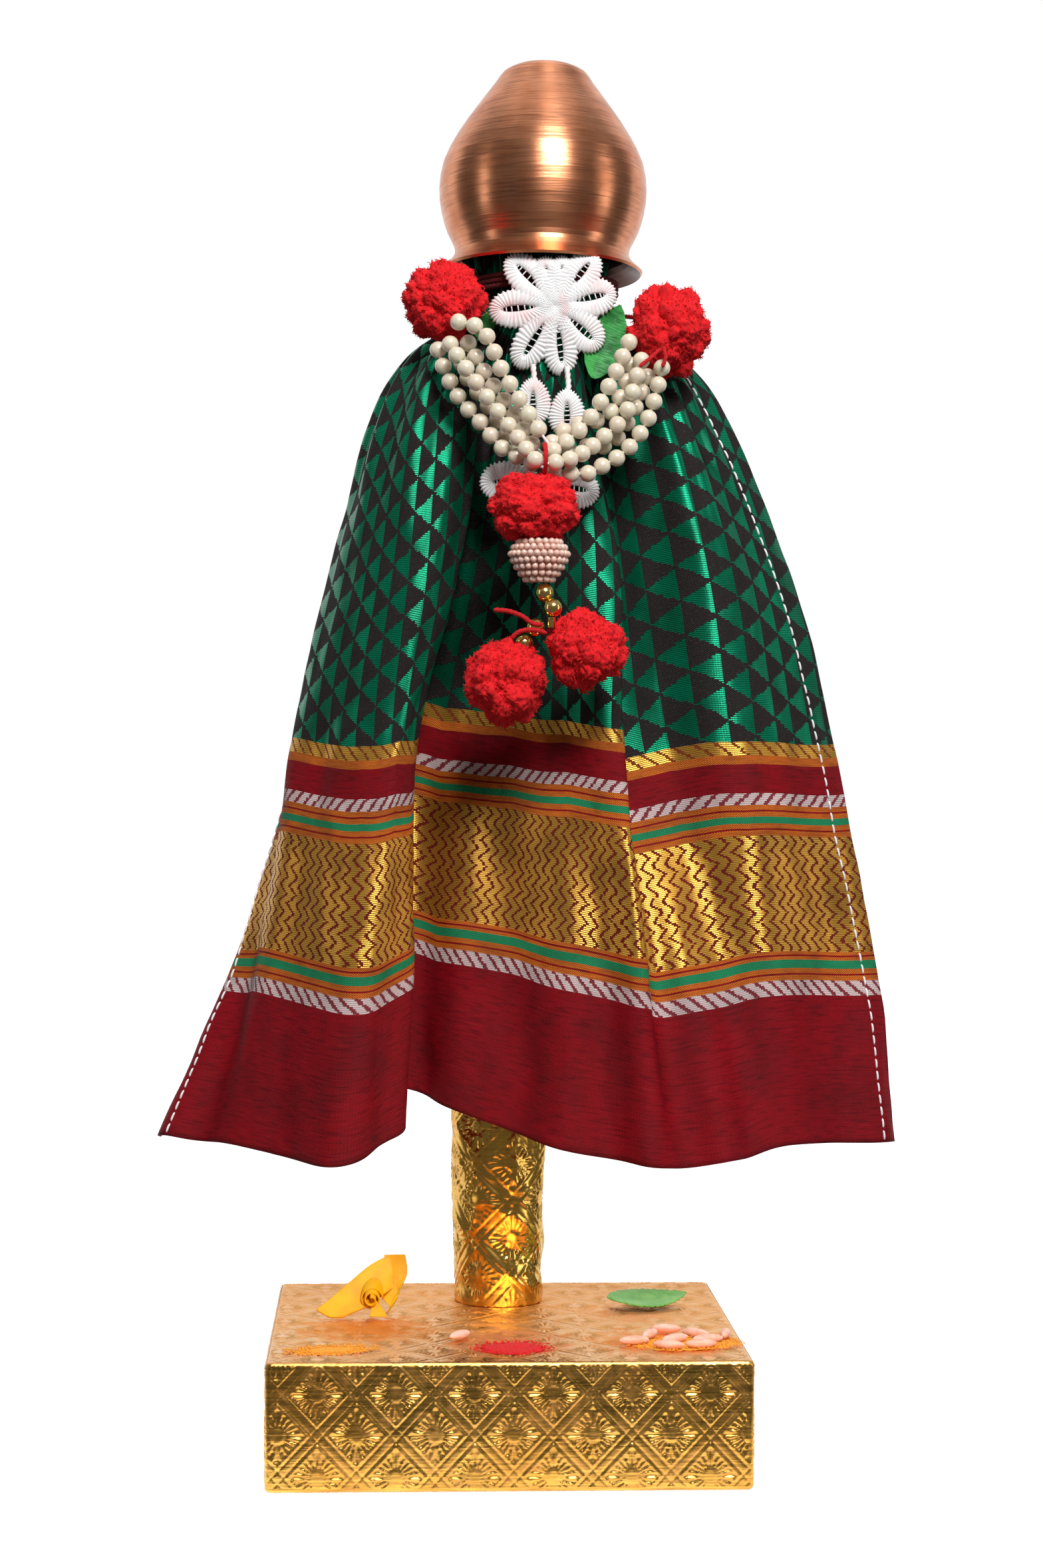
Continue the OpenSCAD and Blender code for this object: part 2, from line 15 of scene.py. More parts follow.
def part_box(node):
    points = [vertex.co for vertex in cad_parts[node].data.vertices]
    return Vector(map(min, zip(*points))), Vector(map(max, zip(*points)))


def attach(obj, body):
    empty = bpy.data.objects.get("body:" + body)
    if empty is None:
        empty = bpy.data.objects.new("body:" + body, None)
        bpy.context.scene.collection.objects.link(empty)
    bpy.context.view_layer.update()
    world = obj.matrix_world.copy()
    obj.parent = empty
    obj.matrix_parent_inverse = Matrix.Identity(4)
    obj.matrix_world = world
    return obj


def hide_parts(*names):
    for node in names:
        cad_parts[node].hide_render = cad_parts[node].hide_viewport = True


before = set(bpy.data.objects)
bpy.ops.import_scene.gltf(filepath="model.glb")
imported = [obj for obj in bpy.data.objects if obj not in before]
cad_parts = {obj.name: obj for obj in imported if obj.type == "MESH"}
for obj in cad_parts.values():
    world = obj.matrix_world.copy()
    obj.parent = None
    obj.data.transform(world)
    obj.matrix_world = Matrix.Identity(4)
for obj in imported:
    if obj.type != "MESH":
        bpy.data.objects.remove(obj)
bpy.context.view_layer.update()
MM = 0.001


def corners_mm(node):
    low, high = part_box(node)
    return np.array(low) / MM, np.array(high) / MM


def centre_mm(node):
    low, high = corners_mm(node)
    return (low + high) / 2


# ---- Camera ----
IMAGE_W, IMAGE_H = 1568, 2357
FOCAL_PX = 4605
CAMERA_AT = (-25.4, -682.0, 153.9)
CAMERA_TURN = (math.radians(2.46), math.radians(-0.6), math.radians(0.2))  # yaw, pitch, roll
SENSOR = 36.0


def make_camera():
    yaw, pitch, roll = CAMERA_TURN
    forward = Vector((math.sin(yaw) * math.cos(pitch), math.cos(yaw) * math.cos(pitch), math.sin(pitch)))
    level = Vector((math.cos(yaw), -math.sin(yaw), 0))
    upright = level.cross(forward)
    right = level * math.cos(roll) + upright * math.sin(roll)
    up = upright * math.cos(roll) - level * math.sin(roll)
    data = bpy.data.cameras.new("camera")
    data.sensor_width = SENSOR
    data.lens = SENSOR * FOCAL_PX / max(IMAGE_W, IMAGE_H)
    data.clip_start, data.clip_end = 0.01, 20
    camera = bpy.data.objects.new("camera", data)
    turn = Matrix((right, up, -forward)).transposed().to_4x4()
    camera.matrix_world = Matrix.Translation(Vector(CAMERA_AT) * MM) @ turn
    bpy.context.scene.collection.objects.link(camera)
    bpy.context.scene.camera = camera


make_camera()


# ---- Shapes ----
def spline(points, steps):
    """A Catmull-Rom curve through points, or through rows of points, with steps from one to the next."""
    p = np.asarray(points, float)
    p = np.concatenate([p[:1], p, p[-1:]])
    t = (np.arange(steps) / steps).reshape((-1,) + (1,) * (p.ndim - 1))
    pieces = []
    for a, b, c, d in zip(p[:-3], p[1:-2], p[2:-1], p[3:]):
        curve = 2 * b + (c - a) * t + (2 * a - 5 * b + 4 * c - d) * t**2 + (3 * b - a - 3 * c + d) * t**3
        pieces.append(0.5 * curve)
    return np.concatenate(pieces + [p[-1:]])


def lengths(path):
    """Distance along a path at each of its points."""
    return np.concatenate([[0], np.cumsum(np.linalg.norm(np.diff(path, axis=0), axis=1))])


def resample(path, step):
    """The same path with points about step apart."""
    run = lengths(path)
    where = np.linspace(0, run[-1], max(3, int(round(run[-1] / step)) + 1))
    return np.stack([np.interp(where, run, path[:, k]) for k in range(3)], 1)


def unit(v):
    return v / np.maximum(np.linalg.norm(v, axis=-1, keepdims=True), 1e-12)


def smoothstep(low, high, x):
    t = np.clip((np.asarray(x, float) - low) / (high - low), 0, 1)
    return t * t * (3 - 2 * t)


def turns(count):
    """The angles of this many points round a circle."""
    return np.arange(count) * 2 * math.pi / count


def triangle_wave(x):
    """From 0 up to 1 and back to 0 as x goes up by 1."""
    return 1 - np.abs(2 * (x % 1) - 1)


def wobble(points, size, octaves=3):
    """Smooth noise from -1 to 1 at each point, with features about size across."""
    return np.array([noise.fractal(Vector(p) / size, 1.0, 2.0, octaves) for p in points])


def grid_normals(grid):
    along = np.gradient(grid, axis=0)
    up = np.gradient(grid, axis=1)
    return unit(np.cross(along, up))


def quads(rows, sides, wrap_rows=False, wrap_sides=True, flip=False):
    """The faces between rows of points, each row having its points one after another."""
    k, s = np.meshgrid(np.arange(rows - 1 + wrap_rows), np.arange(sides - 1 + wrap_sides), indexing="ij")
    here, there = k * sides, (k + 1) % rows * sides
    beside = (s + 1) % sides
    corners = [here + s, here + beside, there + beside, there + s]
    if flip:
        corners = [corners[0]] + corners[:0:-1]
    return np.stack(corners, -1).reshape(-1, 4)


class Shape:
    """Points, faces and flat coordinates gathered for one mesh."""

    def __init__(self):
        self.points, self.faces, self.flat, self.skins, self.count = [], [], [], [], 0

    def add(self, points, faces, flat=None, skin=0):
        points = np.asarray(points, float).reshape(-1, 3)
        self.points.append(points)
        self.flat.append(points[:, :2] if flat is None else np.asarray(flat, float).reshape(-1, 2))
        self.faces += [tuple(int(k) + self.count for k in f) for f in faces]
        self.skins += [skin] * len(faces)
        self.count += len(points)
        return self

    def sheet(self, grid, thickness, flat=None, back_skin=0):
        """A closed solid with grid as its outer side and the inner side thickness behind it."""
        columns, rows = grid.shape[:2]
        behind = grid - np.asarray(thickness)[..., None] * grid_normals(grid)
        n = columns * rows
        front = quads(columns, rows, wrap_sides=False, flip=True)
        back = front[:, ::-1] + n
        edge = np.concatenate([np.arange(columns) * rows, (columns - 1) * rows + np.arange(1, rows),
                               np.arange(columns - 2, -1, -1) * rows + rows - 1, np.arange(rows - 2, 0, -1)])
        following = np.roll(edge, -1)
        rim = np.stack([following, edge, edge + n, following + n], 1)
        first = self.count
        both = None if flat is None else np.concatenate([flat.reshape(-1, 2)] * 2)
        self.add(np.concatenate([grid.reshape(-1, 3), behind.reshape(-1, 3)]), front, both)
        self.faces += [tuple(int(k) + first for k in f) for f in np.concatenate([back, rim])]
        self.skins += [back_skin] * (len(back) + len(rim))
        return self

    def wall(self, outer, inner, flat):
        """A hollow column from its outer and inner rows of points."""
        rows, sides = outer.shape[:2]
        ring, count, top = np.arange(sides), sides * rows, (rows - 1) * sides
        following = (ring + 1) % sides
        skin = quads(rows, sides)
        lower = np.stack([following, ring, ring + count, following + count], 1)
        upper = np.stack([ring + top, following + top, following + top + count, ring + top + count], 1)
        return self.add(np.concatenate([outer.reshape(-1, 3), inner.reshape(-1, 3)]),
                        np.concatenate([skin, skin[:, ::-1] + count, lower, upper]),
                        np.concatenate([flat.reshape(-1, 2)] * 2))

    def tube(self, path, radius, sides=8, plies=0, turn=0.0, closed=False, tip=None):
        """A cord along path. plies and turn give it the ridges of twisted yarn, and tip narrows its ends."""
        path = np.asarray(path, float)
        n = len(path)
        step = np.roll(path, -1, 0) - np.roll(path, 1, 0) if closed else np.gradient(path, axis=0)
        tangent = unit(step)
        side = np.cross(tangent[0], (0, 0, 1) if abs(tangent[0][2]) < 0.9 else (0, 1, 0))
        run = lengths(path)
        radii = np.broadcast_to(np.asarray(radius, float), (n,)).copy()
        if tip:
            radii *= 0.15 + 0.85 * np.sqrt(np.clip(np.minimum(run, run[-1] - run) / tip, 0, 1))
        rings, angle = [], turns(sides)
        for k in range(n):
            side = unit(side - np.dot(side, tangent[k]) * tangent[k])
            up = np.cross(tangent[k], side)
            ridge = 1 + 0.2 * np.cos(plies * (angle - turn * run[k])) * (plies > 0)
            around = np.cos(angle)[:, None] * side + np.sin(angle)[:, None] * up
            rings.append(path[k] + radii[k] * ridge[:, None] * around)
        faces = list(quads(n, sides, wrap_rows=closed))
        if not closed:
            faces += [tuple(range(sides))[::-1], tuple((n - 1) * sides + q for q in range(sides))]
        flat = np.stack([np.repeat(run, sides), np.tile(angle, n)], 1)
        return self.add(np.concatenate(rings), faces, flat)

    def ball(self, centre, radii, rows=12, sides=16, bump=None):
        """A round lump. bump is a function of the unit directions that gives the change in radius."""
        turn = turns(sides)
        rings = []
        for a in np.arange(1, rows) * math.pi / rows:
            level = np.full(sides, math.cos(a))
            rings.append(np.stack([math.sin(a) * np.cos(turn), math.sin(a) * np.sin(turn), level], 1))
        way = np.concatenate([[[0, 0, 1]]] + rings + [[[0, 0, -1]]])
        grow = 1.0 if bump is None else 1 + bump(way)[:, None]
        faces = [(0, 1 + s, 1 + (s + 1) % sides) for s in range(sides)]
        faces += list(quads(rows - 1, sides, flip=True) + 1)
        last = len(way) - 1
        faces += [(last, last - sides + (s + 1) % sides, last - sides + s) for s in range(sides)]
        return self.add(np.asarray(centre) + way * grow * np.asarray(radii, float), faces)


def make_piece(name, shape, materials, body="stand", replaces=()):
    """The mesh object of a shape, in its place, riding on its body."""
    mesh = bpy.data.meshes.new(name)
    mesh.from_pydata((np.concatenate(shape.points) * MM).tolist(), [], shape.faces)
    corner = np.zeros(len(mesh.loops), np.int32)
    mesh.loops.foreach_get("vertex_index", corner)
    layer = mesh.uv_layers.new(name="UVMap")
    layer.data.foreach_set("uv", np.concatenate(shape.flat)[corner].astype(np.float32).ravel())
    for material in materials if isinstance(materials, (list, tuple)) else [materials]:
        mesh.materials.append(material)
    mesh.polygons.foreach_set("material_index", np.array(shape.skins, np.int32))
    mesh.polygons.foreach_set("use_smooth", np.full(len(mesh.polygons), True))
    mesh.update()
    piece = bpy.data.objects.new(name, mesh)
    bpy.context.scene.collection.objects.link(piece)
    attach(piece, body)
    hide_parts(*replaces)
    return piece


# ---- Materials ----
class Nodes:
    """A node tree, with short calls for its nodes."""

    def __init__(self, tree):
        self.tree = tree
        tree.nodes.clear()

    def new(self, kind):
        return self.tree.nodes.new("ShaderNode" + kind)

    def put(self, socket, value):
        if isinstance(value, bpy.types.NodeSocket):
            self.tree.links.new(value, socket)
        elif hasattr(value, "__len__") and len(value) == 3 and len(socket.default_value) == 4:
            socket.default_value = (*value, 1)
        else:
            socket.default_value = value

    def math(self, operation, *values, clamp=False):
        node = self.new("Math")
        node.operation, node.use_clamp = operation, clamp
        for socket, value in zip(node.inputs, values):
            self.put(socket, value)
        return node.outputs[0]

    def plus(self, a, b):
        return self.math("ADD", a, b)

    def times(self, a, b):
        return self.math("MULTIPLY", a, b)

    def times_plus(self, value, by, extra):
        return self.math("MULTIPLY_ADD", value, by, extra)

    def wave(self, value, size):
        """A sine wave, size long."""
        return self.math("SINE", self.times(value, 2 * math.pi / size))

    def repeat(self, value, size):
        """From 0 to 1 in each repeat, size long."""
        return self.math("FRACT", self.math("DIVIDE", value, size))

    def vector(self, x, y, z=0.0):
        node = self.new("CombineXYZ")
        for socket, value in zip(node.inputs, (x, y, z)):
            self.put(socket, value)
        return node.outputs[0]

    def split(self, vector):
        node = self.new("SeparateXYZ")
        self.put(node.inputs[0], vector)
        return list(node.outputs)

    def vector_math(self, operation, a, b, result="Vector"):
        node = self.new("VectorMath")
        node.operation = operation
        self.put(node.inputs[0], a)
        self.put(node.inputs[1], b)
        return node.outputs[result]

    def ramp(self, value, stops, steps=False):
        """Colours or numbers at places from 0 to 1."""
        node = self.new("ValToRGB")
        node.color_ramp.interpolation = "CONSTANT" if steps else "LINEAR"
        elements = node.color_ramp.elements
        while len(elements) > 1:
            elements.remove(elements[0])
        for k, (at, colour) in enumerate(stops):
            element = elements[0] if k == 0 else elements.new(at)
            element.position = at
            element.color = (*colour, 1) if hasattr(colour, "__len__") else (colour, colour, colour, 1)
        self.put(node.inputs[0], value)
        return node.outputs[0]

    def blend(self, share, a, b):
        """Number a where share is 0 and number b where it is 1."""
        node = self.new("Mix")
        for k, value in ((0, share), (2, a), (3, b)):
            self.put(node.inputs[k], value)
        return node.outputs[0]

    def mix(self, share, a, b, kind="MIX"):
        """Colour a where share is 0 and colour b where it is 1."""
        node = self.new("Mix")
        node.data_type, node.blend_type = "RGBA", kind
        for k, value in ((0, share), (6, a), (7, b)):
            self.put(node.inputs[k], value)
        return node.outputs[2]

    def stain(self, colour, shade, value, *stops):
        """A colour with a shade over it, as strong as the stops say at each value."""
        return self.mix(self.ramp(value, stops), colour, shade)

    def noise(self, where, size, detail=3.0, roughness=0.5):
        node = self.new("TexNoise")
        self.put(node.inputs["Vector"], where)
        node.inputs["Scale"].default_value = 1 / size
        node.inputs["Detail"].default_value = detail
        node.inputs["Roughness"].default_value = roughness
        return node.outputs[0]

    def streaks(self, u, v, per_u, per_v, detail, roughness=0.5):
        """Noise on flat coordinates, with so many features in a millimetre each way."""
        return self.noise(self.vector(self.times(u, per_u), self.times(v, per_v)), 1.0, detail, roughness)


class Finish(Nodes):
    """A procedural material. Its sockets are named as in Blender, with low lines for spaces."""

    def __init__(self, name, **sockets):
        self.material = bpy.data.materials.new(name)
        self.material.use_nodes = True
        super().__init__(self.material.node_tree)
        self.shader = self.new("BsdfPrincipled")
        self.put(self.new("OutputMaterial").inputs[0], self.shader.outputs[0])
        self.set(**sockets)

    def set(self, **sockets):
        inputs = {s.name.lower().replace(" ", "_"): s for s in self.shader.inputs}
        for key, value in sockets.items():
            self.put(inputs[key], value)

    def place(self):
        """Where a point is in its piece, in millimetres."""
        node = self.new("VectorMath")
        node.operation = "SCALE"
        self.put(node.inputs[0], self.new("TexCoord").outputs["Object"])
        node.inputs["Scale"].default_value = 1 / MM
        return node.outputs[0]

    def flat(self):
        """The piece's own flat coordinates, in millimetres."""
        return self.split(self.new("UVMap").outputs[0])[:2]

    def face_normal(self):
        return self.new("NewGeometry").outputs["Normal"]

    def grain_along(self, **settings):
        """The direction along which highlights are drawn out."""
        node = self.new("Tangent")
        for key, value in settings.items():
            setattr(node, key, value)
        self.set(tangent=node.outputs[0])

    def bump(self, height, depth_mm, strength=1.0):
        node = self.new("Bump")
        node.inputs["Strength"].default_value = strength
        node.inputs["Distance"].default_value = depth_mm * MM
        self.put(node.inputs["Height"], height)
        self.set(normal=node.outputs[0])


# The sari's bands, each with its lower edge in millimetres from the hem
BANDS = [(0, "maroon"), (34.2, "rope"), (37.6, "orange"), (38.7, "maroon"), (39.1, "orange"),
         (40.4, "green"), (42.2, "orange"), (43.1, "maroon"), (43.5, "orange"), (44.4, "zigzag"),
         (71.2, "orange"), (72.6, "maroon"), (73, "orange"), (74.2, "green"), (75.7, "orange"),
         (76.8, "maroon"), (77.2, "orange"), (78.2, "rope"), (80.9, "maroon"), (87.8, "orange"),
         (89.6, "gold_rope"), (92.8, "brocade")]
BAND_RANGE = 100.0
COLUMN_W, COLUMN_H = 5.4, 7.9
THREAD, WARP = 0.42, 0.5
ROPE_PITCH, GOLD_PITCH = 3.15, 3.4
ZIG_PITCH, ZIG_RISE, ZIG_REACH = 2.8, 2.05, 2.3
MAROON, MAROON_DARK, MAROON_LIGHT = (0.21, 0.001, 0.006), (0.06, 0.0, 0.002), (0.44, 0.006, 0.014)
ORANGE = (0.72, 0.2, 0.015)
GOLD, GOLD_DARK = (0.85, 0.5, 0.09), (0.42, 0.16, 0.015)
ROPE_WHITE, ROPE_PINK = (0.74, 0.6, 0.58), (0.22, 0.03, 0.04)
STRIPE_GREEN = (0.005, 0.2, 0.08)
SATIN_GREEN, SATIN_DEEP = (0.004, 0.34, 0.17), (0.001, 0.1, 0.05)
GROUND_DARK, GROUND_DOT = (0.004, 0.004, 0.004), (0.085, 0.065, 0.065)


class Silk(Finish):
    """The sari's woven bands and brocade. Its back is duller, with the satin threads hidden."""

    def __init__(self, name, front):
        super().__init__(name, specular_ior_level=0.2, anisotropic=0.6, anisotropic_rotation=0.25)
        self.front = front
        self.u, self.v = self.flat()
        self.row = self.times(self.math("FLOOR", self.math("DIVIDE", self.v, THREAD)), THREAD)
        self.weft = self.wave(self.v, THREAD)
        self.basket = self.times(self.weft, self.wave(self.u, WARP))
        self.slub = self.streaks(self.u, self.v, 0.22, 1.8, 3)
        self.speck = self.streaks(self.u, self.v, 1.3, 2.4, 2, 0.8)
        self.ragged = self.streaks(self.u, self.row, 0.3, 3.1, 1)
        self.jog = self.times(self.math("SUBTRACT", self.ragged, 0.5), 1.5)
        self.thread_shade = self.times_plus(self.weft, 0.5, 0.5)
        self.gold_thread = self.mix(self.thread_shade, GOLD_DARK, GOLD)
        self.weave()

    def band_masks(self):
        """For each kind of band, 1 where the cloth is of that kind and 0 elsewhere."""
        height = self.math("DIVIDE", self.v, BAND_RANGE, clamp=True)
        masks = {}
        for kind in dict.fromkeys(kind for _, kind in BANDS):
            stops = [(at / BAND_RANGE, float(band == kind)) for at, band in BANDS]
            masks[kind] = self.ramp(height, stops, steps=True)
        return masks

    def maroon(self):
        dots = self.times(self.math("GREATER_THAN", self.basket, 0.3), 0.5)
        colour = self.mix(dots, MAROON, MAROON_LIGHT)
        colour = self.stain(colour, MAROON_DARK, self.slub, (0.3, 0.6), (0.5, 0.0))
        colour = self.stain(colour, (0.38, 0.02, 0.025), self.slub, (0.62, 0.0), (0.8, 0.5))
        return self.stain(colour, (0.04, 0.003, 0.005), self.speck, (0.24, 0.85), (0.38, 0.0))

    def orange(self):
        colour = self.mix(self.math("GREATER_THAN", self.basket, -0.1), (0.26, 0.02, 0.01), ORANGE)
        return self.stain(colour, (0.3, 0.05, 0.01), self.slub, (0.35, 0.5), (0.55, 0.0))

    def green(self):
        return self.mix(self.math("GREATER_THAN", self.basket, 0.4), STRIPE_GREEN, (0.04, 0.34, 0.16))

    # Each band from here on gives where its raised threads are, and its colour
    def rope(self):
        lean = self.times_plus(self.math("LESS_THAN", self.v, 60), 2, -1)
        twist = self.plus(self.plus(self.u, self.jog), self.times(lean, self.row))
        strand = self.math("LESS_THAN", self.repeat(twist, ROPE_PITCH), 0.66)
        white = self.mix(self.thread_shade, (0.42, 0.3, 0.3), ROPE_WHITE)
        return strand, self.mix(strand, ROPE_PINK, white)

    def gold_rope(self):
        twist = self.plus(self.plus(self.u, self.jog), self.row)
        strand = self.math("LESS_THAN", self.repeat(twist, GOLD_PITCH), 0.76)
        return strand, self.mix(strand, (0.2, 0.04, 0.008), self.gold_thread)

    def zigzag(self):
        zig = self.times(self.math("PINGPONG", self.row, ZIG_RISE), ZIG_REACH / ZIG_RISE)
        line = self.repeat(self.plus(self.plus(self.u, zig), self.jog), ZIG_PITCH)
        gold = self.math("GREATER_THAN", line, 0.29)
        return gold, self.mix(gold, (0.16, 0.012, 0.008), self.gold_thread)

    def brocade(self):
        column = self.math("FLOOR", self.math("DIVIDE", self.u, COLUMN_W))
        up = self.repeat(self.plus(self.row, self.times(column, COLUMN_H * 0.46)), COLUMN_H)
        off = self.times(self.math("ABSOLUTE", self.math("SUBTRACT", up, 0.5)), 2)
        slant = self.times_plus(self.repeat(self.u, COLUMN_W), 0.95, -0.24)
        satin = self.math("LESS_THAN", off, self.times_plus(self.ragged, 0.4, slant))
        colour = self.mix(self.thread_shade, SATIN_DEEP, SATIN_GREEN)
        colour = self.stain(colour, SATIN_DEEP, self.speck, (0.3, 0.5), (0.5, 0.0))
        dots = self.times(self.math("GREATER_THAN", self.basket, 0.35), 0.7)
        ground = self.mix(dots, GROUND_DARK, GROUND_DOT)
        ground = self.stain(ground, (0.07, 0.055, 0.055), self.speck, (0.55, 0.0), (0.75, 0.6))
        if not self.front:
            colour = self.mix(0.6, colour, GROUND_DARK)
            ground = self.mix(0.35, ground, SATIN_DEEP)
        return satin, self.mix(satin, ground, colour)

    def weave(self):
        bands = self.band_masks()
        patch = self.noise(self.place(), 9, 4)
        colour = self.mix(bands["orange"], self.maroon(), self.orange())
        colour = self.mix(bands["green"], colour, self.green())
        raised = {}
        for kind in ("rope", "zigzag", "gold_rope", "brocade"):
            threads, layer = getattr(self, kind)()
            colour = self.mix(bands[kind], colour, layer)
            raised[kind] = self.times(bands[kind], threads)
        colour = self.stain(colour, (0.01, 0.006, 0.006), patch, (0.3, 0.35), (0.6, 0.0))
        if not self.front:
            colour = self.mix(0.35, colour, (0.03, 0.012, 0.012))
        metal = self.plus(raised["gold_rope"], raised["brocade"])
        floats = self.math("ADD", raised["zigzag"], metal, clamp=True)
        high = self.math("ADD", floats, raised["rope"], clamp=True)
        gloss = floats if self.front else self.times(floats, 0.3)
        self.set(base_color=colour, metallic=self.times(gloss, 0.7), roughness=self.blend(gloss, 0.8, 0.36))
        self.grain_along(direction_type="UV_MAP", uv_map="UVMap")
        cloth = self.times_plus(self.basket, self.times_plus(high, -0.3, 0.35), self.times(self.weft, 0.15))
        self.bump(self.plus(cloth, self.times(high, 0.7)), 0.16, 0.8)


def foil_finish(name, colour, brushed, stains=()):
    """Gold foil: fine brushed lines in bright metal, dull worn spots, the colour of spilt powder, a broad
    orange tint over the top and back, and painted light on faces turned up.
    """
    s = Finish(name, metallic=1.0)
    place = s.place()
    lines = s.streaks(*s.flat(), 0.07, 1.9, 3, 0.6)
    dents = s.noise(place, 2.6, 2)
    blot = s.noise(place, 14, 4)
    warm = tuple(c * k for c, k in zip(colour, (1, 0.84, 0.7)))
    tint = s.stain(colour, warm, blot, (0.35, 0.0), (0.7, 1.0))
    # Faces turned up get a paler orange tint and fainter brushed lines: painted light on the top.
    top = s.times(s.math("GREATER_THAN", s.split(s.face_normal())[2], 0.6), brushed)
    tint = s.mix(s.times(top, 0.65), tint, (0.98, 0.52, 0.2))
    worn = s.times(s.ramp(lines, [(0.4, 0.85 * brushed), (0.6, 0.0)]), s.times_plus(top, -0.8, 1))
    tint = s.mix(worn, tint, tuple(c * 0.4 for c in colour))
    rough = s.times_plus(blot, 0.16, 0.1 + 0.08 * brushed)
    for at, size, shade in stains:
        apart = s.math("DIVIDE", s.vector_math("DISTANCE", place, at, "Value"), size)
        cover = s.ramp(s.plus(apart, s.times_plus(dents, 1.2, -0.6)), [(0.25, 0.75), (0.95, 0.0)])
        tint = s.mix(cover, tint, shade)
        rough = s.times_plus(cover, 0.35, rough)
    s.set(base_color=tint, roughness=rough)
    s.bump(s.times_plus(lines, 0.9 * brushed, s.times(dents, 0.5 - 0.46 * brushed)), 0.06)
    return s.material


def copper_finish():
    """Spun copper: rings left by the tool round the pot, dull finger marks, and painted shade on its inside.
    """
    s = Finish("spun_copper", metallic=1.0, anisotropic=0.7, anisotropic_rotation=0.25)
    centre = centre_mm("kalash_pot")
    place = s.place()
    x, y, z = s.split(place)
    tilt = math.tan(math.radians(3.5))
    level = s.times_plus(s.math("SUBTRACT", y, float(centre[1])), tilt, z)
    rings = s.noise(s.vector(0.0, 0.0, level), 0.55, 3, 0.7)
    wide_rings = s.noise(s.vector(0.0, 0.0, level), 4.5, 2)
    broken = s.noise(s.vector(s.times(x, 0.12), s.times(y, 0.12), s.times(level, 2.5)), 1.0, 2)
    marks = s.noise(place, 7, 4)
    tint = s.stain((0.8, 0.33, 0.17), (0.62, 0.22, 0.1), marks, (0.4, 0.0), (0.7, 1.0))
    tint = s.stain(tint, (0.36, 0.13, 0.07), broken, (0.3, 0.6), (0.5, 0.0))
    # Faces turned towards the pot's axis, its inside, are painted dark: painted shade.
    outward = s.vector_math("SUBTRACT", s.vector(x, y, float(centre[2])), centre)
    facing = s.vector_math("DOT_PRODUCT", outward, s.face_normal(), "Value")
    s.set(base_color=s.mix(s.math("LESS_THAN", facing, 0), tint, (0.1, 0.045, 0.035)),
          roughness=s.times_plus(wide_rings, 0.16, s.times_plus(marks, 0.14, 0.17)))
    s.grain_along(direction_type="RADIAL", axis="Z")
    s.bump(s.times_plus(wide_rings, 0.8, s.plus(rings, s.times(broken, 0.5))), 0.06)
    return s.material


def yarn_finish(name, colour, dark, size):
    """Brushed wool or thread: mottled, soft at its edges, with fine fibres."""
    s = Finish(name, roughness=0.9, sheen_weight=0.1, sheen_roughness=0.5, sheen_tint=(1, 0.05, 0.05))
    place = s.place()
    fibres = s.noise(place, size * 0.2, 2, 0.7)
    shade = s.times_plus(fibres, 0.45, s.times(s.noise(place, size, 3), 0.6))
    s.set(base_color=s.ramp(shade, [(0.36, dark), (0.62, colour)]))
    s.bump(fibres, size * 0.1)
    return s.material


def white_thread_finish():
    s = Finish("white_cotton", roughness=0.85, specular_ior_level=0.2, subsurface_weight=0.15,
               subsurface_radius=(1.0, 0.8, 0.7), subsurface_scale=0.6 * MM)
    place = s.place()
    tint = s.noise(place, 5, 2)
    s.set(base_color=s.stain((0.88, 0.87, 0.87), (0.87, 0.66, 0.66), tint, (0.52, 0.0), (0.75, 1.0)))
    s.bump(s.noise(place, 0.25, 2), 0.06)
    return s.material


def pearl_finish(name, colour, blush, size):
    """Painted pearls: a soft deep layer under a clear coat, with a blush that changes from bead to bead."""
    s = Finish(name, roughness=0.3, coat_weight=1.0, coat_roughness=0.2, ior=1.6, subsurface_weight=0.3,
               subsurface_radius=(1.0, 0.8, 0.6), subsurface_scale=0.8 * MM)
    place = s.place()
    s.set(base_color=s.stain(colour, blush, s.noise(place, size * 1.6, 2), (0.35, 0.0), (0.65, 1.0)))
    s.bump(s.noise(place, size * 0.3, 2), size * 0.002)
    return s.material


def bead_gold_finish():
    s = Finish("gold_plated_bead", metallic=1.0)
    worn = s.noise(s.place(), 1.2, 4)
    s.set(base_color=s.stain((0.92, 0.62, 0.2), (0.55, 0.35, 0.14), worn, (0.5, 0.0), (0.75, 1.0)),
          roughness=s.times_plus(worn, 0.16, 0.1))
    s.bump(worn, 0.04)
    return s.material


def satin_leaf_finish(name, colour, pale):
    """Pressed satin cloth for an artificial leaf, with pale streaks of painted sheen along its ribs."""
    s = Finish(name, roughness=0.42, sheen_weight=0.3, sheen_roughness=0.3)
    # The colour turns pale along the rib streaks and in patches: painted sheen.
    rib = s.streaks(*s.flat(), 3.5, 0.3, 2)
    shade = s.times_plus(rib, 0.4, s.times(s.noise(s.place(), 3.5, 3), 0.6))
    s.set(base_color=s.stain(colour, pale, shade, (0.4, 0.0), (0.62, 1.0)))
    s.bump(rib, 0.07)
    return s.material


def ribbon_finish():
    s = Finish("yellow_ribbon", roughness=0.5, specular_ior_level=0.3, subsurface_weight=0.2,
               subsurface_radius=(1.0, 0.6, 0.1), subsurface_scale=1.2 * MM)
    place = s.place()
    blot = s.noise(place, 5, 3)
    s.set(base_color=s.stain((0.88, 0.38, 0.001), (0.92, 0.5, 0.002), blot, (0.35, 0.0), (0.65, 1.0)))
    s.bump(s.times_plus(s.wave(s.flat()[1], 0.32), 0.25, s.noise(place, 1.5, 2)), 0.06)
    return s.material


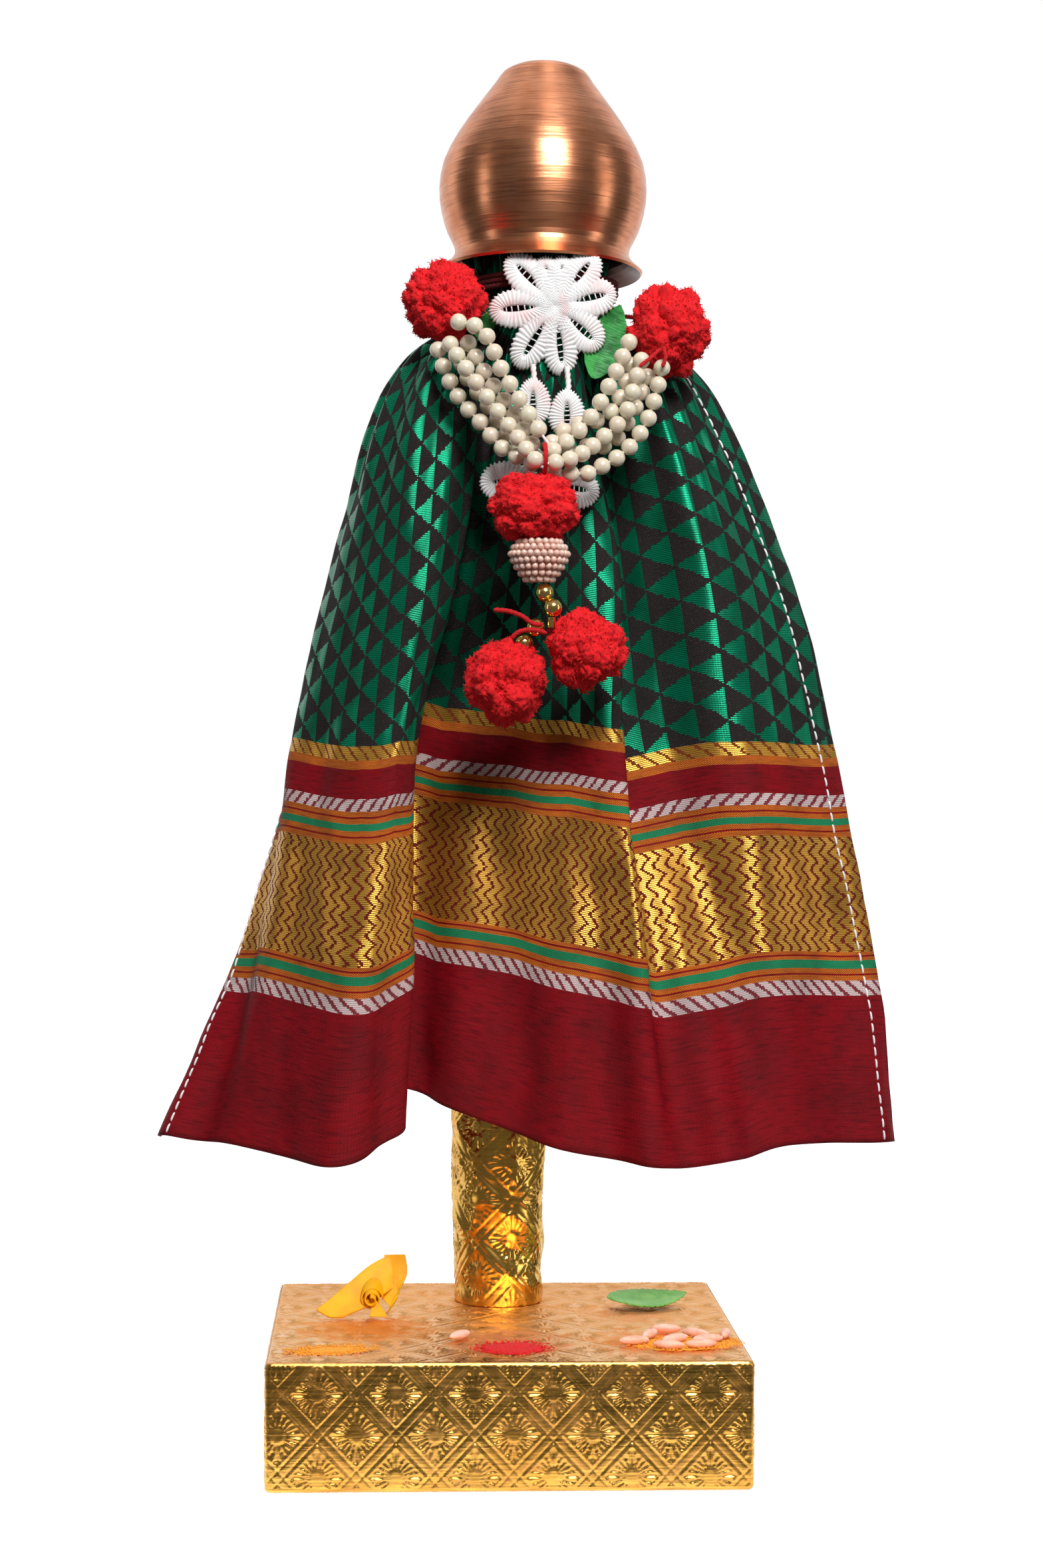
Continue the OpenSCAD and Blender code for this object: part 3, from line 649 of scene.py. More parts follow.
def powder_finish(name, colour, pale):
    s = Finish(name, roughness=0.95)
    grains = s.noise(s.place(), 0.35, 2, 0.7)
    s.set(base_color=s.stain(colour, pale, grains, (0.35, 0.0), (0.65, 1.0)))
    s.bump(grains, 0.12)
    return s.material


def rice_finish():
    s = Finish("tinted_rice", roughness=0.5, coat_weight=0.1, subsurface_weight=0.35,
               subsurface_radius=(1.0, 0.6, 0.4), subsurface_scale=1.0 * MM)
    place = s.place()
    blot = s.noise(place, 2.5, 3)
    s.set(base_color=s.stain((0.9, 0.58, 0.46), (0.88, 0.4, 0.27), blot, (0.35, 0.0), (0.65, 1.0)))
    s.bump(s.noise(place, 0.5, 2), 0.05)
    return s.material


def wood_finish():
    s = Finish("pine_wood", roughness=0.6)
    x, y, z = s.split(s.place())
    grain = s.noise(s.vector(x, y, s.times(z, 0.06)), 1.6, 4)
    s.set(base_color=s.stain((0.55, 0.34, 0.16), (0.38, 0.2, 0.08), grain, (0.35, 0.0), (0.65, 1.0)))
    s.bump(grain, 0.1)
    return s.material


silk = Silk("sari_silk", True).material
silk_back = Silk("sari_reverse", False).material
BASE_TOP = corners_mm("base_foil")[1][2]
# The first entry is no spill but a broad orange tint with duller gloss, strongest over the block's top and
# back; the others are spilt powder.
TOP_TINT_AND_SPILLS = [((0, 60, BASE_TOP + 60), 150, (0.9, 0.42, 0.13)), ((-30, -12, BASE_TOP), 19, (0.88, 0.26, 0.01)),
          ((33, -28, BASE_TOP), 19, (0.9, 0.3, 0.06)), ((0, -26, BASE_TOP), 17, (0.85, 0.27, 0.1)),
          ((30, 8, BASE_TOP), 15, (0.9, 0.42, 0.18))]
base_foil_gold = foil_finish("embossed_gold_foil", (0.93, 0.52, 0.11), 1.0, TOP_TINT_AND_SPILLS)
pole_foil_gold = foil_finish("crumpled_gold_foil", (0.97, 0.6, 0.13), 0.3)
copper = copper_finish()
red_wool = yarn_finish("red_wool", (0.85, 0.004, 0.01), (0.5, 0.001, 0.004), 1.2)
red_thread = yarn_finish("red_thread", (0.62, 0.004, 0.008), (0.3, 0.001, 0.003), 0.6)
# The neck cord's red is painted nearly black: painted shade for the pot's shadow over it.
shaded_thread = yarn_finish("dark_red_thread", (0.12, 0.004, 0.006), (0.05, 0.001, 0.002), 0.6)
cotton = white_thread_finish()
pearl = pearl_finish("cream_pearl", (0.76, 0.7, 0.53), (0.76, 0.64, 0.5), 3.8)
seed_pearl = pearl_finish("pink_seed_pearl", (0.84, 0.5, 0.4), (0.84, 0.62, 0.52), 1.4)
bead_gold = bead_gold_finish()
# The second colour of each leaf is its painted sheen.
leaf_satin = satin_leaf_finish("green_satin_leaf", (0.004, 0.13, 0.015), (0.05, 0.42, 0.08))
leaf_cloth = satin_leaf_finish("green_offering_leaf", (0.09, 0.36, 0.03), (0.2, 0.5, 0.08))
ribbon = ribbon_finish()
turmeric = powder_finish("turmeric_powder", (0.85, 0.3, 0.01), (0.95, 0.45, 0.05))
kumkum = powder_finish("kumkum_powder", (0.62, 0.004, 0.008), (0.78, 0.02, 0.02))
rice = rice_finish()
wood = wood_finish()

# ---- Block wrapped in embossed foil ----
LATTICE_W, LATTICE_H = 16.36, 17.2
MEDALLION = (-40.1, 6.9)
EMBOSS = 0.36
EDGE_R = 1.5
BASE_STEP = 0.3


def emboss(x, y):
    """Depth below the foil's face, from 0 to 1, of the diamond lattice and the sunburst in each diamond."""
    x, y = x - MEDALLION[0] + LATTICE_W / 2, y - MEDALLION[1]
    a, b = x / LATTICE_W + y / LATTICE_H, x / LATTICE_W - y / LATTICE_H
    depth = np.zeros_like(x)
    for way in (a, b):
        off = np.abs((way + 0.5) % 1 - 0.5) * LATTICE_W
        line = np.exp(-((off - 1.25) / 0.3) ** 2)
        depth = np.maximum(depth, np.maximum(0.4 * smoothstep(1.4, 1.1, off), line))
    ca, cb = np.floor(a) + 0.5, np.floor(b) + 0.5
    dx, dy = x - (ca + cb) / 2 * LATTICE_W, y - (ca - cb) / 2 * LATTICE_H
    far = np.abs(dx) / LATTICE_W + np.abs(dy) / LATTICE_H
    radius = np.hypot(dx, dy)
    rays = smoothstep(-0.2, 0.5, np.cos(20 * np.arctan2(dx, dy)))
    burst = rays * smoothstep(0.35, 0.31, far) * smoothstep(1.2, 1.9, radius)
    dotted = smoothstep(0, 0.4, np.cos(2 * math.pi * dx / 0.58))
    rim = np.exp(-((far - 0.34) / 0.014) ** 2) * np.where(dy < -0.3, dotted, 0.2)
    return np.maximum(depth, np.maximum(burst, rim))


def base_side(half, axis, sign):
    """One side of the wrapped block, with its half of the rounded edges, about the block's centre."""
    p, q = [k for k in range(3) if k != axis]
    counts = np.maximum(2, np.round(2 * half / BASE_STEP).astype(int)) + 1
    i, j = np.meshgrid(np.linspace(-1, 1, counts[p]), np.linspace(-1, 1, counts[q]), indexing="ij")
    box = np.zeros(i.shape + (3,))
    box[..., p], box[..., q], box[..., axis] = i * half[p], j * half[q], sign * half[axis]
    inner = np.clip(box, -half + EDGE_R, half - EDGE_R)
    out = unit(box - inner)
    on_face = np.minimum(half[p] - np.abs(box[..., p]), half[q] - np.abs(box[..., q]))
    x, y = (box[..., 0], box[..., 1]) if axis == 2 else (box[..., 1 - axis], box[..., 2])
    fade = smoothstep(0.4, 1.6, on_face)
    flush = 0.12 if axis < 2 else 0.0
    pressed = emboss(x, y) * fade * EMBOSS * (0.6 if axis == 2 else 1.0)
    crinkle = 0.05 * wobble(box.reshape(-1, 3), 11).reshape(i.shape)
    points = inner + out * (EDGE_R + flush - 0.05 - pressed + crinkle * fade)[..., None]
    faces = quads(*i.shape, wrap_sides=False, flip=True)
    return points, faces[:, ::-1] if (sign > 0) == (axis == 1) else faces, np.stack([x, y], -1)


def build_base():
    low, high = corners_mm("base_foil")
    shape = Shape()
    for axis in range(3):
        for sign in (-1, 1):
            points, faces, flat = base_side((high - low) / 2, axis, sign)
            shape.add(points + (low + high) / 2, faces, flat)
    return shape


def weld(piece, distance_mm):
    """Joins the points that two patches of one surface share."""
    mesh = bmesh.new()
    mesh.from_mesh(piece.data)
    bmesh.ops.remove_doubles(mesh, verts=mesh.verts, dist=distance_mm * MM)
    mesh.to_mesh(piece.data)
    mesh.free()


base = make_piece("base_wrapping", build_base(), base_foil_gold, replaces=["base_foil"])
weld(base, 0.02)

# ---- Pole wrapped in crumpled foil ----
POLE_FOOT = np.array([0.0, 24.0, 27.4])
POLE_LEAN = math.tan(math.radians(2))
SLEEVE = [(0, 10.2), (20, 10.9), (38, 11.3), (62, 11.3), (74, 11.2), (86, 8.9), (100, 8.5), (224, 8.5)]


def build_pole():
    heights, radii = zip(*SLEEVE)
    sides = 180
    h = np.concatenate([np.linspace(0, 90, 240), np.linspace(91, heights[-1], 90)])
    hh, aa = np.meshgrid(h, np.linspace(0, 2 * math.pi, sides + 1), indexing="ij")
    rr = np.broadcast_to(np.interp(h, heights, radii)[:, None], hh.shape).copy()
    swirl = hh * 0.45 + 5 * np.sin(aa + 0.08 * hh)
    around = np.stack([np.cos(aa) * 9, np.sin(aa) * 9, swirl], -1).reshape(-1, 3)
    big = np.abs(wobble(around, 10.5, 1)).reshape(hh.shape)
    small = np.abs(wobble(around * (1, 1, 2) + 40, 3.4, 1)).reshape(hh.shape)
    loose = 0.2 + 0.8 * smoothstep(90, 76, hh)
    rr -= loose * (1.5 * big + 0.25 * small + 0.25 * emboss(aa * 10, hh)) * (0.3 + 0.7 * smoothstep(0, 5, hh))
    lean = POLE_LEAN * hh * smoothstep(60, 100, hh)
    axis = np.stack([lean, 0 * hh], -1)
    points = np.stack([lean + rr * np.cos(aa), rr * np.sin(aa), hh], -1) + POLE_FOOT
    inside = points.copy()
    outward = points[..., :2] - POLE_FOOT[:2] - axis
    inside[..., :2] = POLE_FOOT[:2] + axis + outward * (1 - 0.25 / rr)[..., None]
    flat = np.stack([aa * 10, hh], -1)
    return Shape().wall(points[:, :sides], inside[:, :sides], flat[:, :sides])


make_piece("pole_wrapping", build_pole(), pole_foil_gold, replaces=["pole_foil"])

# ---- Sari ----
# Each pleat line: hem point, then X and Y at each level above it, then the angle
# at which the line meets the tied neck
LEVELS = [110, 156.5, 192, 226]
PLEATS = [
    [(-78, 16, 66.5), (-59, 25), (-41, 33), (-31, 36), (-22, 34), 205],
    [(-73, 11, 66.5), (-57, 18), (-46, 27), (-37, 28), (-28, 27), 192],
    [(-60, 3, 66), (-53, 7), (-47, 14), (-40, 16), (-31, 17), 178],
    [(-47, -7, 64), (-42, -4), (-40, 3), (-34, 3), (-27, 7), 165],
    [(-37, -12, 63), (-32, -9), (-31, -4), (-25, -3), (-19, 1), 153],
    [(-28, -9, 66), (-25, -8), (-23, -6), (-16, -4), (-11, 2), 142],
    [(-22.5, 0, 71), (-21, -1), (-20, 0), (-11, 3), (-6, 8), 134],
    [(-29, 8, 76), (-28, 7), (-27, 10), (-18, 12), (-10, 12), 126],
    [(-23, 10, 78), (-22, 12), (-21, 14), (-13, 15), (-6, 14), 118],
    [(-11, 2, 74), (-9, 5), (-8, 9), (-5, 11), (-1, 11), 108],
    [(10, -8, 67), (10, -4), (8, 3), (6, 5), (5, 6), 98],
    [(27, -14, 64), (24, -10), (20, -4), (18, -1), (14, 3), 86],
    [(34, -15, 63), (30, -12), (26.5, -4), (26, 0), (20, 6), 76],
    [(41, -14, 63), (33, -6), (22, 4), (21, 8), (19, 12), 66],
    [(54, -10, 64.5), (46, -3), (36, 4), (32, 7), (27, 11), 52],
    [(64, -3, 66.5), (59, -2), (51, 0), (46, 2), (37, 8), 38],
    [(84, 4, 66), (78, 7), (69, 8), (60, 10), (47, 14), 18],
    [(88.5, 10, 65.5), (84, 12), (76, 14), (67, 16), (53.5, 19), 4]]
NECK_CENTRE = np.array([8.8, 24.0])
NECK_R = 16.0
COLLAR_Z, COLLAR_FLARE = 243, 0.62
NECK_Z = [255, 270, 284]
PLEAT_STEPS, LEVEL_STEPS = 16, 18
CLOTH_T = 0.45
HEM_W = 5.8


def pleat_line(hem, *rest):
    *levels, angle = rest
    neck = NECK_CENTRE + NECK_R * np.array([math.cos(math.radians(angle)), -math.sin(math.radians(angle))])
    collar = neck + (np.array(levels[-1]) - neck) * COLLAR_FLARE
    drape = [(*p, z) for p, z in zip(levels, LEVELS)]
    return [hem] + drape + [(*collar, COLLAR_Z)] + [(*neck, z) for z in NECK_Z]


# How far up or down the weave's bands lie from their place by length alone, at pleat lines from
# the left edge (0) to the right (17): below the gold panel, and above it
BAND_SHIFT = [(0, -1.5, 0.3), (2, 0, 0.5), (4, 1, 0.3), (5, 2.5, 2.5), (5.6, 3.2, 5.5), (8.6, 4, 5),
              (9.2, 1.4, 2.4), (9.6, -0.4, -0.5), (10.4, -1, -3.5), (12.2, -0.3, -3.8), (13, 1, 0.8),
              (14, 0.7, 0), (15, 1, 2.2), (17, 1, 1.5)]


def warp_threads(grid, start, v):
    """Carries each warp thread's number up and down the cloth, always at right angles to the weft."""
    along, up = np.gradient(grid, axis=0), np.gradient(grid, axis=1)
    v_along, v_up = np.gradient(v, axis=0), np.gradient(v, axis=1)
    weft = along * v_up[..., None] - up * v_along[..., None]
    slip = 0.3 * np.clip((up * weft).sum(-1) / (along * weft).sum(-1), -1, 1)
    soften = np.hanning(43)[1:-1] / np.hanning(43).sum()
    slip = np.stack([np.convolve(np.pad(row, 20, mode="edge"), soften, "valid") for row in slip.T], 1)
    place = np.arange(len(grid), dtype=float)
    threads = np.tile(start[:, None], (1, grid.shape[1]))
    first = int(np.argmin(np.abs(v.mean(0) - 60)))

    def read(row, at):
        ends = np.clip(at, 0, len(row) - 1)
        return np.interp(ends, place, row) + (at - ends) * (row[-1] - row[-2])

    for j in range(first, grid.shape[1] - 1):
        threads[:, j + 1] = read(threads[:, j], place + slip[:, j])
    for j in range(first, 0, -1):
        threads[:, j - 1] = read(threads[:, j], place - slip[:, j])
    return threads


def sari_surface():
    """The outer side as a grid of columns by rows, each point's distance across the hem, and its
    place in the weave."""
    plan = np.array([pleat_line(*p) for p in PLEATS])
    grid = spline(spline(plan, PLEAT_STEPS).transpose(1, 0, 2), LEVEL_STEPS).transpose(1, 0, 2)
    across = lengths(grid[:, 0])
    up = np.array([lengths(column) for column in grid])
    u = np.broadcast_to(across[:, None], up.shape)
    out = grid_normals(grid)
    where, low, high = np.array(BAND_SHIFT).T
    pleat = np.arange(len(grid)) / PLEAT_STEPS
    low, high = [np.interp(pleat, where, shift)[:, None] for shift in (low, high)]
    v = up + low * np.clip(up / 34, 0, 1) + (high - low) * np.clip((up - 34) / 46, 0, 1)
    gather = smoothstep(120, 185, up)
    edge = smoothstep(0, 9, across) * smoothstep(0, 9, across[-1] - across)
    folds = np.sin(2 * math.pi * u / 11.5 + 1.3 * np.sin(u / 17)) * (0.75 + 0.25 * np.sin(u / 7.0))
    soft = wobble(np.stack([u / 16, up / 45, 0 * u], -1).reshape(-1, 3), 1, 2).reshape(u.shape)
    fine = wobble(np.stack([u / 5, up / 11, 0 * u + 7], -1).reshape(-1, 3), 1, 2).reshape(u.shape)
    flare = np.sin(2 * math.pi * u / 21 + 1.1 * np.sin(u / 13)) * smoothstep(120, 10, up)
    lift = 1.25 * gather * folds * edge[:, None] + 1.1 * soft + 0.28 * fine + 1.4 * flare
    return grid + out * lift[..., None], u, np.stack([warp_threads(grid, across, up), v], -1)


sari_grid, sari_u, sari_weave = sari_surface()


def build_sari():
    hem = smoothstep(HEM_W + 0.4, HEM_W, np.minimum(sari_u, sari_u[-1, 0] - sari_u))
    thickness = CLOTH_T * (1 + 0.9 * hem)
    return Shape().sheet(sari_grid, thickness, sari_weave, back_skin=1)


sari = make_piece("sari", build_sari(), [silk, silk_back], replaces=["drape_cloth"])

STITCH_INSET, STITCH_PITCH, STITCH_LEN, STITCH_R = 5.0, 2.7, 2.15, 0.24


def build_stitches(from_left):
    """Running stitches up one side edge, on the front of the cloth and, in between, on its back."""
    shape = Shape()
    out = grid_normals(sari_grid)
    inset = STITCH_INSET if from_left else sari_u[-1, 0] - STITCH_INSET
    column = int(np.argmin(np.abs(sari_u[:, 0] - inset)))
    stop = int(np.argmin(np.abs(sari_grid[column, :, 2] - 250)))
    line, normal = sari_grid[column, :stop], out[column, :stop]
    run = lengths(line)
    for start in np.arange(0.6, run[-1] - STITCH_PITCH, STITCH_PITCH):
        turn = start + STITCH_LEN
        for side, begin, end in ((1, start, turn), (-1, turn, start + STITCH_PITCH)):
            where = np.linspace(begin - 0.1, end + 0.1, 7)
            centre = np.stack([np.interp(where, run, line[:, c]) for c in range(3)], 1)
            away = np.stack([np.interp(where, run, normal[:, c]) for c in range(3)], 1)
            rise = np.sin(np.linspace(0, math.pi, 7)) ** 0.5
            lift = side * STITCH_R * rise - (0.12 if side > 0 else 2 * CLOTH_T - 0.1)
            shape.tube(centre + away * lift[:, None], STITCH_R, 8, tip=0.5)
    return shape


for side in ("left", "right"):
    make_piece(f"{side}_hem_stitches", build_stitches(side == "left"), cotton,
               replaces=[f"{side}_edge_stitches"])


def build_bunch():
    """The sari's inner pleats, gathered round the pole under the pot."""
    low, high = corners_mm("cloth_bunch")
    z = np.linspace(low[2] + 0.4, high[2] - 0.4, 24)
    zz, aa = np.meshgrid(z, turns(224), indexing="ij")
    wave = np.sin(14 * aa + 0.04 * (zz - z[0]) * np.sin(3 * aa)) * 1.5 + 0.4 * np.sin(37 * aa)
    radius = 11.0 + wave * (0.8 + 0.2 * np.cos((zz - z[0]) / 9))
    thin = (radius - 0.5) / radius
    lean = POLE_LEAN * (zz - POLE_FOOT[2])
    outer, inner = [np.stack([lean + r * np.cos(aa), POLE_FOOT[1] + r * np.sin(aa), zz], -1)
                    for r in (radius, radius * thin)]
    return Shape().wall(outer, inner, np.stack([aa * 30, zz - z[0] + 110], -1))


bunch = make_piece("inner_pleats", build_bunch(), silk_back, replaces=["cloth_bunch"])


# ---- Cords ----
def cord_piece(name, routes, radius, material, body, replaces, closed=False, tip=None):
    shape = Shape()
    for route in routes:
        path = np.asarray(route, float) if closed else resample(spline(route, 8), 0.35)
        shape.tube(path, radius, 10, plies=3, turn=1.1 / radius, closed=closed, tip=tip)
    return make_piece(name, shape, material, body, replaces)


def circle_path(centre, radius, count=240):
    a = turns(count)
    height = centre[2] + 0.3 * np.sin(3 * a)
    return np.stack([centre[0] + radius * np.cos(a), centre[1] + radius * np.sin(a), height], 1)


def upright_loop(x):
    a = turns(60)
    return np.stack([x + 0 * a, -14.2 + 7 * np.cos(a), 217.4 + 3.6 * np.sin(a)], 1)


GARLAND_ROUTE = [(-13.5, 13, 255.5), (-14, 24, 256.5), (-8, 37, 257), (3, 44, 257), (15, 44, 257),
                 (26, 38, 256.5), (33, 28, 254.5), (36.5, 14, 250.5)]
POMPOM_ROUTES = [[(34, -6.3, 243), (31.5, -8.6, 240.6), (29, -9.8, 238.6)],
                 [(34.6, -7.4, 243.4), (35, -8.2, 241), (34.2, -8.4, 238.6)]]
YARN_ROUTES = [[(7.6, -22, 181.4), (5.2, -22.2, 181.6), (3, -22.4, 183.1), (0, -22.4, 184.2),
                (-3.3, -22, 184.5)],
               [(8.4, -22, 179.4), (6.6, -22.3, 180), (4.2, -22.4, 180.2), (2, -22.3, 179.6),
                (0.6, -22, 178.2)]]
NECK_RINGS = [circle_path((*NECK_CENTRE, z), 17.4) for z in (259.2, 260.4, 261.6)]
LOOPS = [upright_loop(8 + shift) for shift in (-0.15, 0.15)]
cord_piece("neck_cord", NECK_RINGS, 0.6, shaded_thread, "stand", ["neck_tie"], closed=True)
cord_piece("garland_cord", [GARLAND_ROUTE], 0.5, red_thread, "stand", ["garland_tie"])
cord_piece("gather_cord", LOOPS, 0.32, red_thread, "stand", ["gather_loop"], closed=True)
cord_piece("pompom_tails", POMPOM_ROUTES, 0.42, red_thread, "stand", ["right_pompom_threads"],
           tip=0.5)
cord_piece("yarn_tails", YARN_ROUTES, 0.5, red_thread, "tassel_left", ["yarn_ends"], tip=0.5)


# ---- Pompoms ----
def build_pompom(centre, radii, seed, lumps=120, fibres=2000):
    """A dense ball of cut yarn: clumps with deep gaps between them, and short curling fibres."""
    draw = np.random.default_rng(seed)
    centre, radii = np.asarray(centre, float), np.asarray(radii, float)
    heads = unit(draw.normal(size=(lumps, 3)))
    sizes = draw.uniform(0.17, 0.36, lumps)
    heights = draw.uniform(-0.14, 0.06, lumps)

    def bumps(way):
        near = np.linalg.norm(way[:, None] - heads[None], axis=2) / sizes
        lump = (np.sqrt(np.clip(1 - near**2, 0, 1)) * 0.24 + heights - 0.2).max(1)
        fuzz = wobble(way * 10 + seed, 1.1, 4)
        return np.maximum(lump, -0.27) + 0.07 * fuzz

    shape = Shape().ball(centre, radii, 100, 150, bumps)
    way = unit(draw.normal(size=(fibres, 3)))
    level = 1 + bumps(way)
    sideways = unit(np.cross(way, draw.normal(size=(fibres, 3))))
    reach = draw.uniform(0.03, 0.1, fibres)
    t = np.linspace(0, 1, 4)[:, None]
    for k in range(fibres):
        path = way[k] * (level[k] - 0.03 + reach[k] * t) + sideways[k] * reach[k] * 0.9 * t**2
        shape.tube(centre + path * radii, np.linspace(0.15, 0.06, 4), 4)
    return shape


POMPOMS = [("left_pompom", "left_pompom", "stand", (1.12, 1.08, 1.1)),
           ("right_pompom", "right_pompom", "stand", (1.06, 1.08, 1.2)),
           ("centre_pompom", "centre_pompom", "pendant", (1.02, 0.86, 1.16)),
           ("tassel_left_pompom", "left_tassel_pompom", "tassel_left", (1.06, 1.02, 1.08)),
           ("tassel_right_pompom", "right_tassel_pompom", "tassel_right", (1.1, 0.96, 1.12))]
for seed, (node, name, body, swell) in enumerate(POMPOMS):
    low, high = corners_mm(node)
    make_piece(name + "_yarn", build_pompom((low + high) / 2, (high - low) / 2 * swell, seed + 3), red_wool,
               body, [node])


# ---- Lace ----
def petal_outline(long, wide, count):
    """A petal's outline in its own plane, from the stalk round the tip and back."""
    angle = turns(count)
    x = long * 0.5 * (1 - np.cos(angle))
    y = wide * 0.5 * np.sin(angle) * (0.62 + 0.38 * np.clip(x / long, 0, 1) ** 0.7)
    return np.stack([x, y], 1)


def lace_petal(shape, stand, long, wide, hole, draw):
    """A padded ring of close thread round a narrow hole, with a few threads across the hole."""
    count, sides = 190, 10
    outer = petal_outline(long, wide, count)
    inner = petal_outline(long * hole, wide * hole * 0.3, count) + (long * (0.56 - hole / 2), 0)
    ridge = np.cos(np.arange(count) * 2 * math.pi / 5)
    fringe = draw.uniform(-0.12, 0.22, count)
    t = turns(sides)
    share = 0.5 + 0.5 * np.cos(t)
    rings = []
    for k in range(count):
        across = inner[k] + (outer[k] - inner[k]) * (share[:, None] * (1 + 0.07 * ridge[k] + 0.2 * fringe[k]))
        puff = 0.65 * np.sin(t) * (1 + 0.22 * ridge[k])
        rings.append(stand(across, puff + 0.25))
    shape.add(np.concatenate(rings), quads(count, sides, wrap_rows=True)[:, ::-1])
    for at in np.linspace(0.12, 0.88, 7):
        near, far = inner[int(at * count / 2)], inner[int((1 - at / 2) * count) % count]
        shape.tube(stand(np.linspace(near, far, 4), 0.1 + draw.uniform(-0.1, 0.2)), 0.15, 6)


def build_lace(centre, petals, seed):
    """Embroidered lace petals, each given by its angle, length, width and the size of its hole."""
    shape, draw = Shape(), np.random.default_rng(seed)
    for degrees, long, wide, hole in petals:
        angle = math.radians(degrees)
        turn = np.array([[math.cos(angle), math.sin(angle)], [-math.sin(angle), math.cos(angle)]])

        def stand(flat, depth):
            flat = flat @ turn
            bow = 0.012 * (flat**2).sum(1)
            return np.stack([centre[0] + flat[:, 0], centre[1] - depth + bow, centre[2] + flat[:, 1]], 1)

        lace_petal(shape, stand, long, wide, hole, draw)
    return shape


UPPER_PETALS = [(14, 14.2, 10, 0.5), (52, 15.2, 9.6, 0.5), (133, 15.4, 9.6, 0.5), (184, 14.8, 10, 0.5),
                (238, 16, 9.4, 0.5), (277, 15.6, 9.2, 0.5), (319, 13.8, 9.8, 0.5),
                (80, 11.5, 7.5, 0.45), (104, 11.5, 7.5, 0.45)]
LOWER_PETALS = [(178, 13.6, 10.6, 0.46), (-8, 13, 10, 0.46), (245, 7, 6, 0.4), (295, 7, 6, 0.4)]
for level, x, z, petals, seed in (("upper", 11.2, 253.6, UPPER_PETALS, 31),
                                  ("lower", 8, 213.4, LOWER_PETALS, 32)):
    node = f"lace_flower_{level}"
    make_piece(f"lace_blossom_{level}", build_lace((x, centre_mm(node)[1], z), petals, seed), cotton,
               replaces=[node])


def build_drop(node):
    """A lace petal that hangs from the flower by a thin woven stalk."""
    low, high = corners_mm(node)
    middle = (low + high) / 2
    shape = build_lace((middle[0], middle[1], low[2] + 9.2), [(270, 10.4, 9.4, 0.5)], 33)
    stalk = [(middle[0], middle[1], low[2] + 8), (middle[0] + 0.3, middle[1], (low[2] + high[2]) / 2 + 3),
             (middle[0], middle[1] + 0.6, high[2] + 0.5)]
    return shape.tube(resample(spline(stalk, 6), 0.3), 0.6, 10, plies=3, turn=1.6)


for side in ("left", "right"):
    node = f"lace_drop_{side}"
    make_piece(f"lace_petal_{side}", build_drop(node), cotton, replaces=[node])


# ---- Leaves ----
def leaf_grid(long, wide, cup, teeth=0, tooth=0.0, steps=60, sides=17):
    """A leaf along +X, cupped and with a groove down its middle."""
    s = np.linspace(0.004, 0.996, steps)
    t = np.linspace(-1, 1, sides)
    ss, tt = np.meshgrid(s, t, indexing="ij")
    width = wide / 2 * np.sin(math.pi * ss**0.85) ** 0.75
    if teeth:
        notch = triangle_wave(ss * teeth) - 0.5
        width = width + tooth * notch * smoothstep(0.02, 0.15, ss) * smoothstep(1, 0.85, ss)
    veins = 0.05 * np.cos(2 * math.pi * (ss * 9 - np.abs(tt) * 1.2)) * np.abs(tt) ** 0.5
    z = cup * (np.abs(tt) ** 1.8) * width / (wide / 2) + 0.12 * np.abs(tt) ** 0.3 + veins
    return np.stack([(ss - 0.5) * long, tt * width, z], -1)


def placed(grid, columns, at):
    """The grid turned so that its own X, Y and Z lie along the given directions."""
    return grid @ np.array(columns, float) + np.asarray(at, float)


def standing_leaf(node, turn, long, wide, bow):
    a = math.radians(turn)
    grid = leaf_grid(long, wide, 0.7)
    grid[..., 2] += bow * (grid[..., 0] / long * 2) ** 2
    axes = [(math.cos(a), 0, math.sin(a)), (-math.sin(a), 0, math.cos(a)), (0, -1, 0)]
    return Shape().sheet(placed(grid, axes, centre_mm(node)), np.full(grid.shape[:2], 0.25), grid[..., :2])


for name, node, sizes in (("satin_leaf_by_lace", "satin_leaf_right", (70, 17.6, 8.8, 0.2)),
                          ("satin_leaf_small", "satin_leaf_left", (60, 7.8, 3.8, 0.1))):
    make_piece(name, standing_leaf(node, *sizes), leaf_satin, replaces=[node])


def offering_leaf():
    low, high = corners_mm("green_leaf")
    turn, tilt = math.radians(20), math.radians(9)
    grid = leaf_grid(19.5, 12, 0.5, teeth=15, tooth=0.8)
    grid[..., 2] += 0.012 * grid[..., 0] ** 2 - 0.5
    side = (-math.sin(turn) * math.cos(tilt), math.cos(turn) * math.cos(tilt), math.sin(tilt))
    face = (math.sin(turn) * math.sin(tilt), -math.cos(turn) * math.sin(tilt), math.cos(tilt))
    at = ((low[0] + high[0]) / 2, (low[1] + high[1]) / 2, low[2] + 2.2)
    axes = [(math.cos(turn), math.sin(turn), 0), side, face]
    return Shape().sheet(placed(grid, axes, at), np.full(grid.shape[:2], 0.3), grid[..., :2])


make_piece("offering_leaf", offering_leaf(), leaf_cloth, replaces=["green_leaf"])

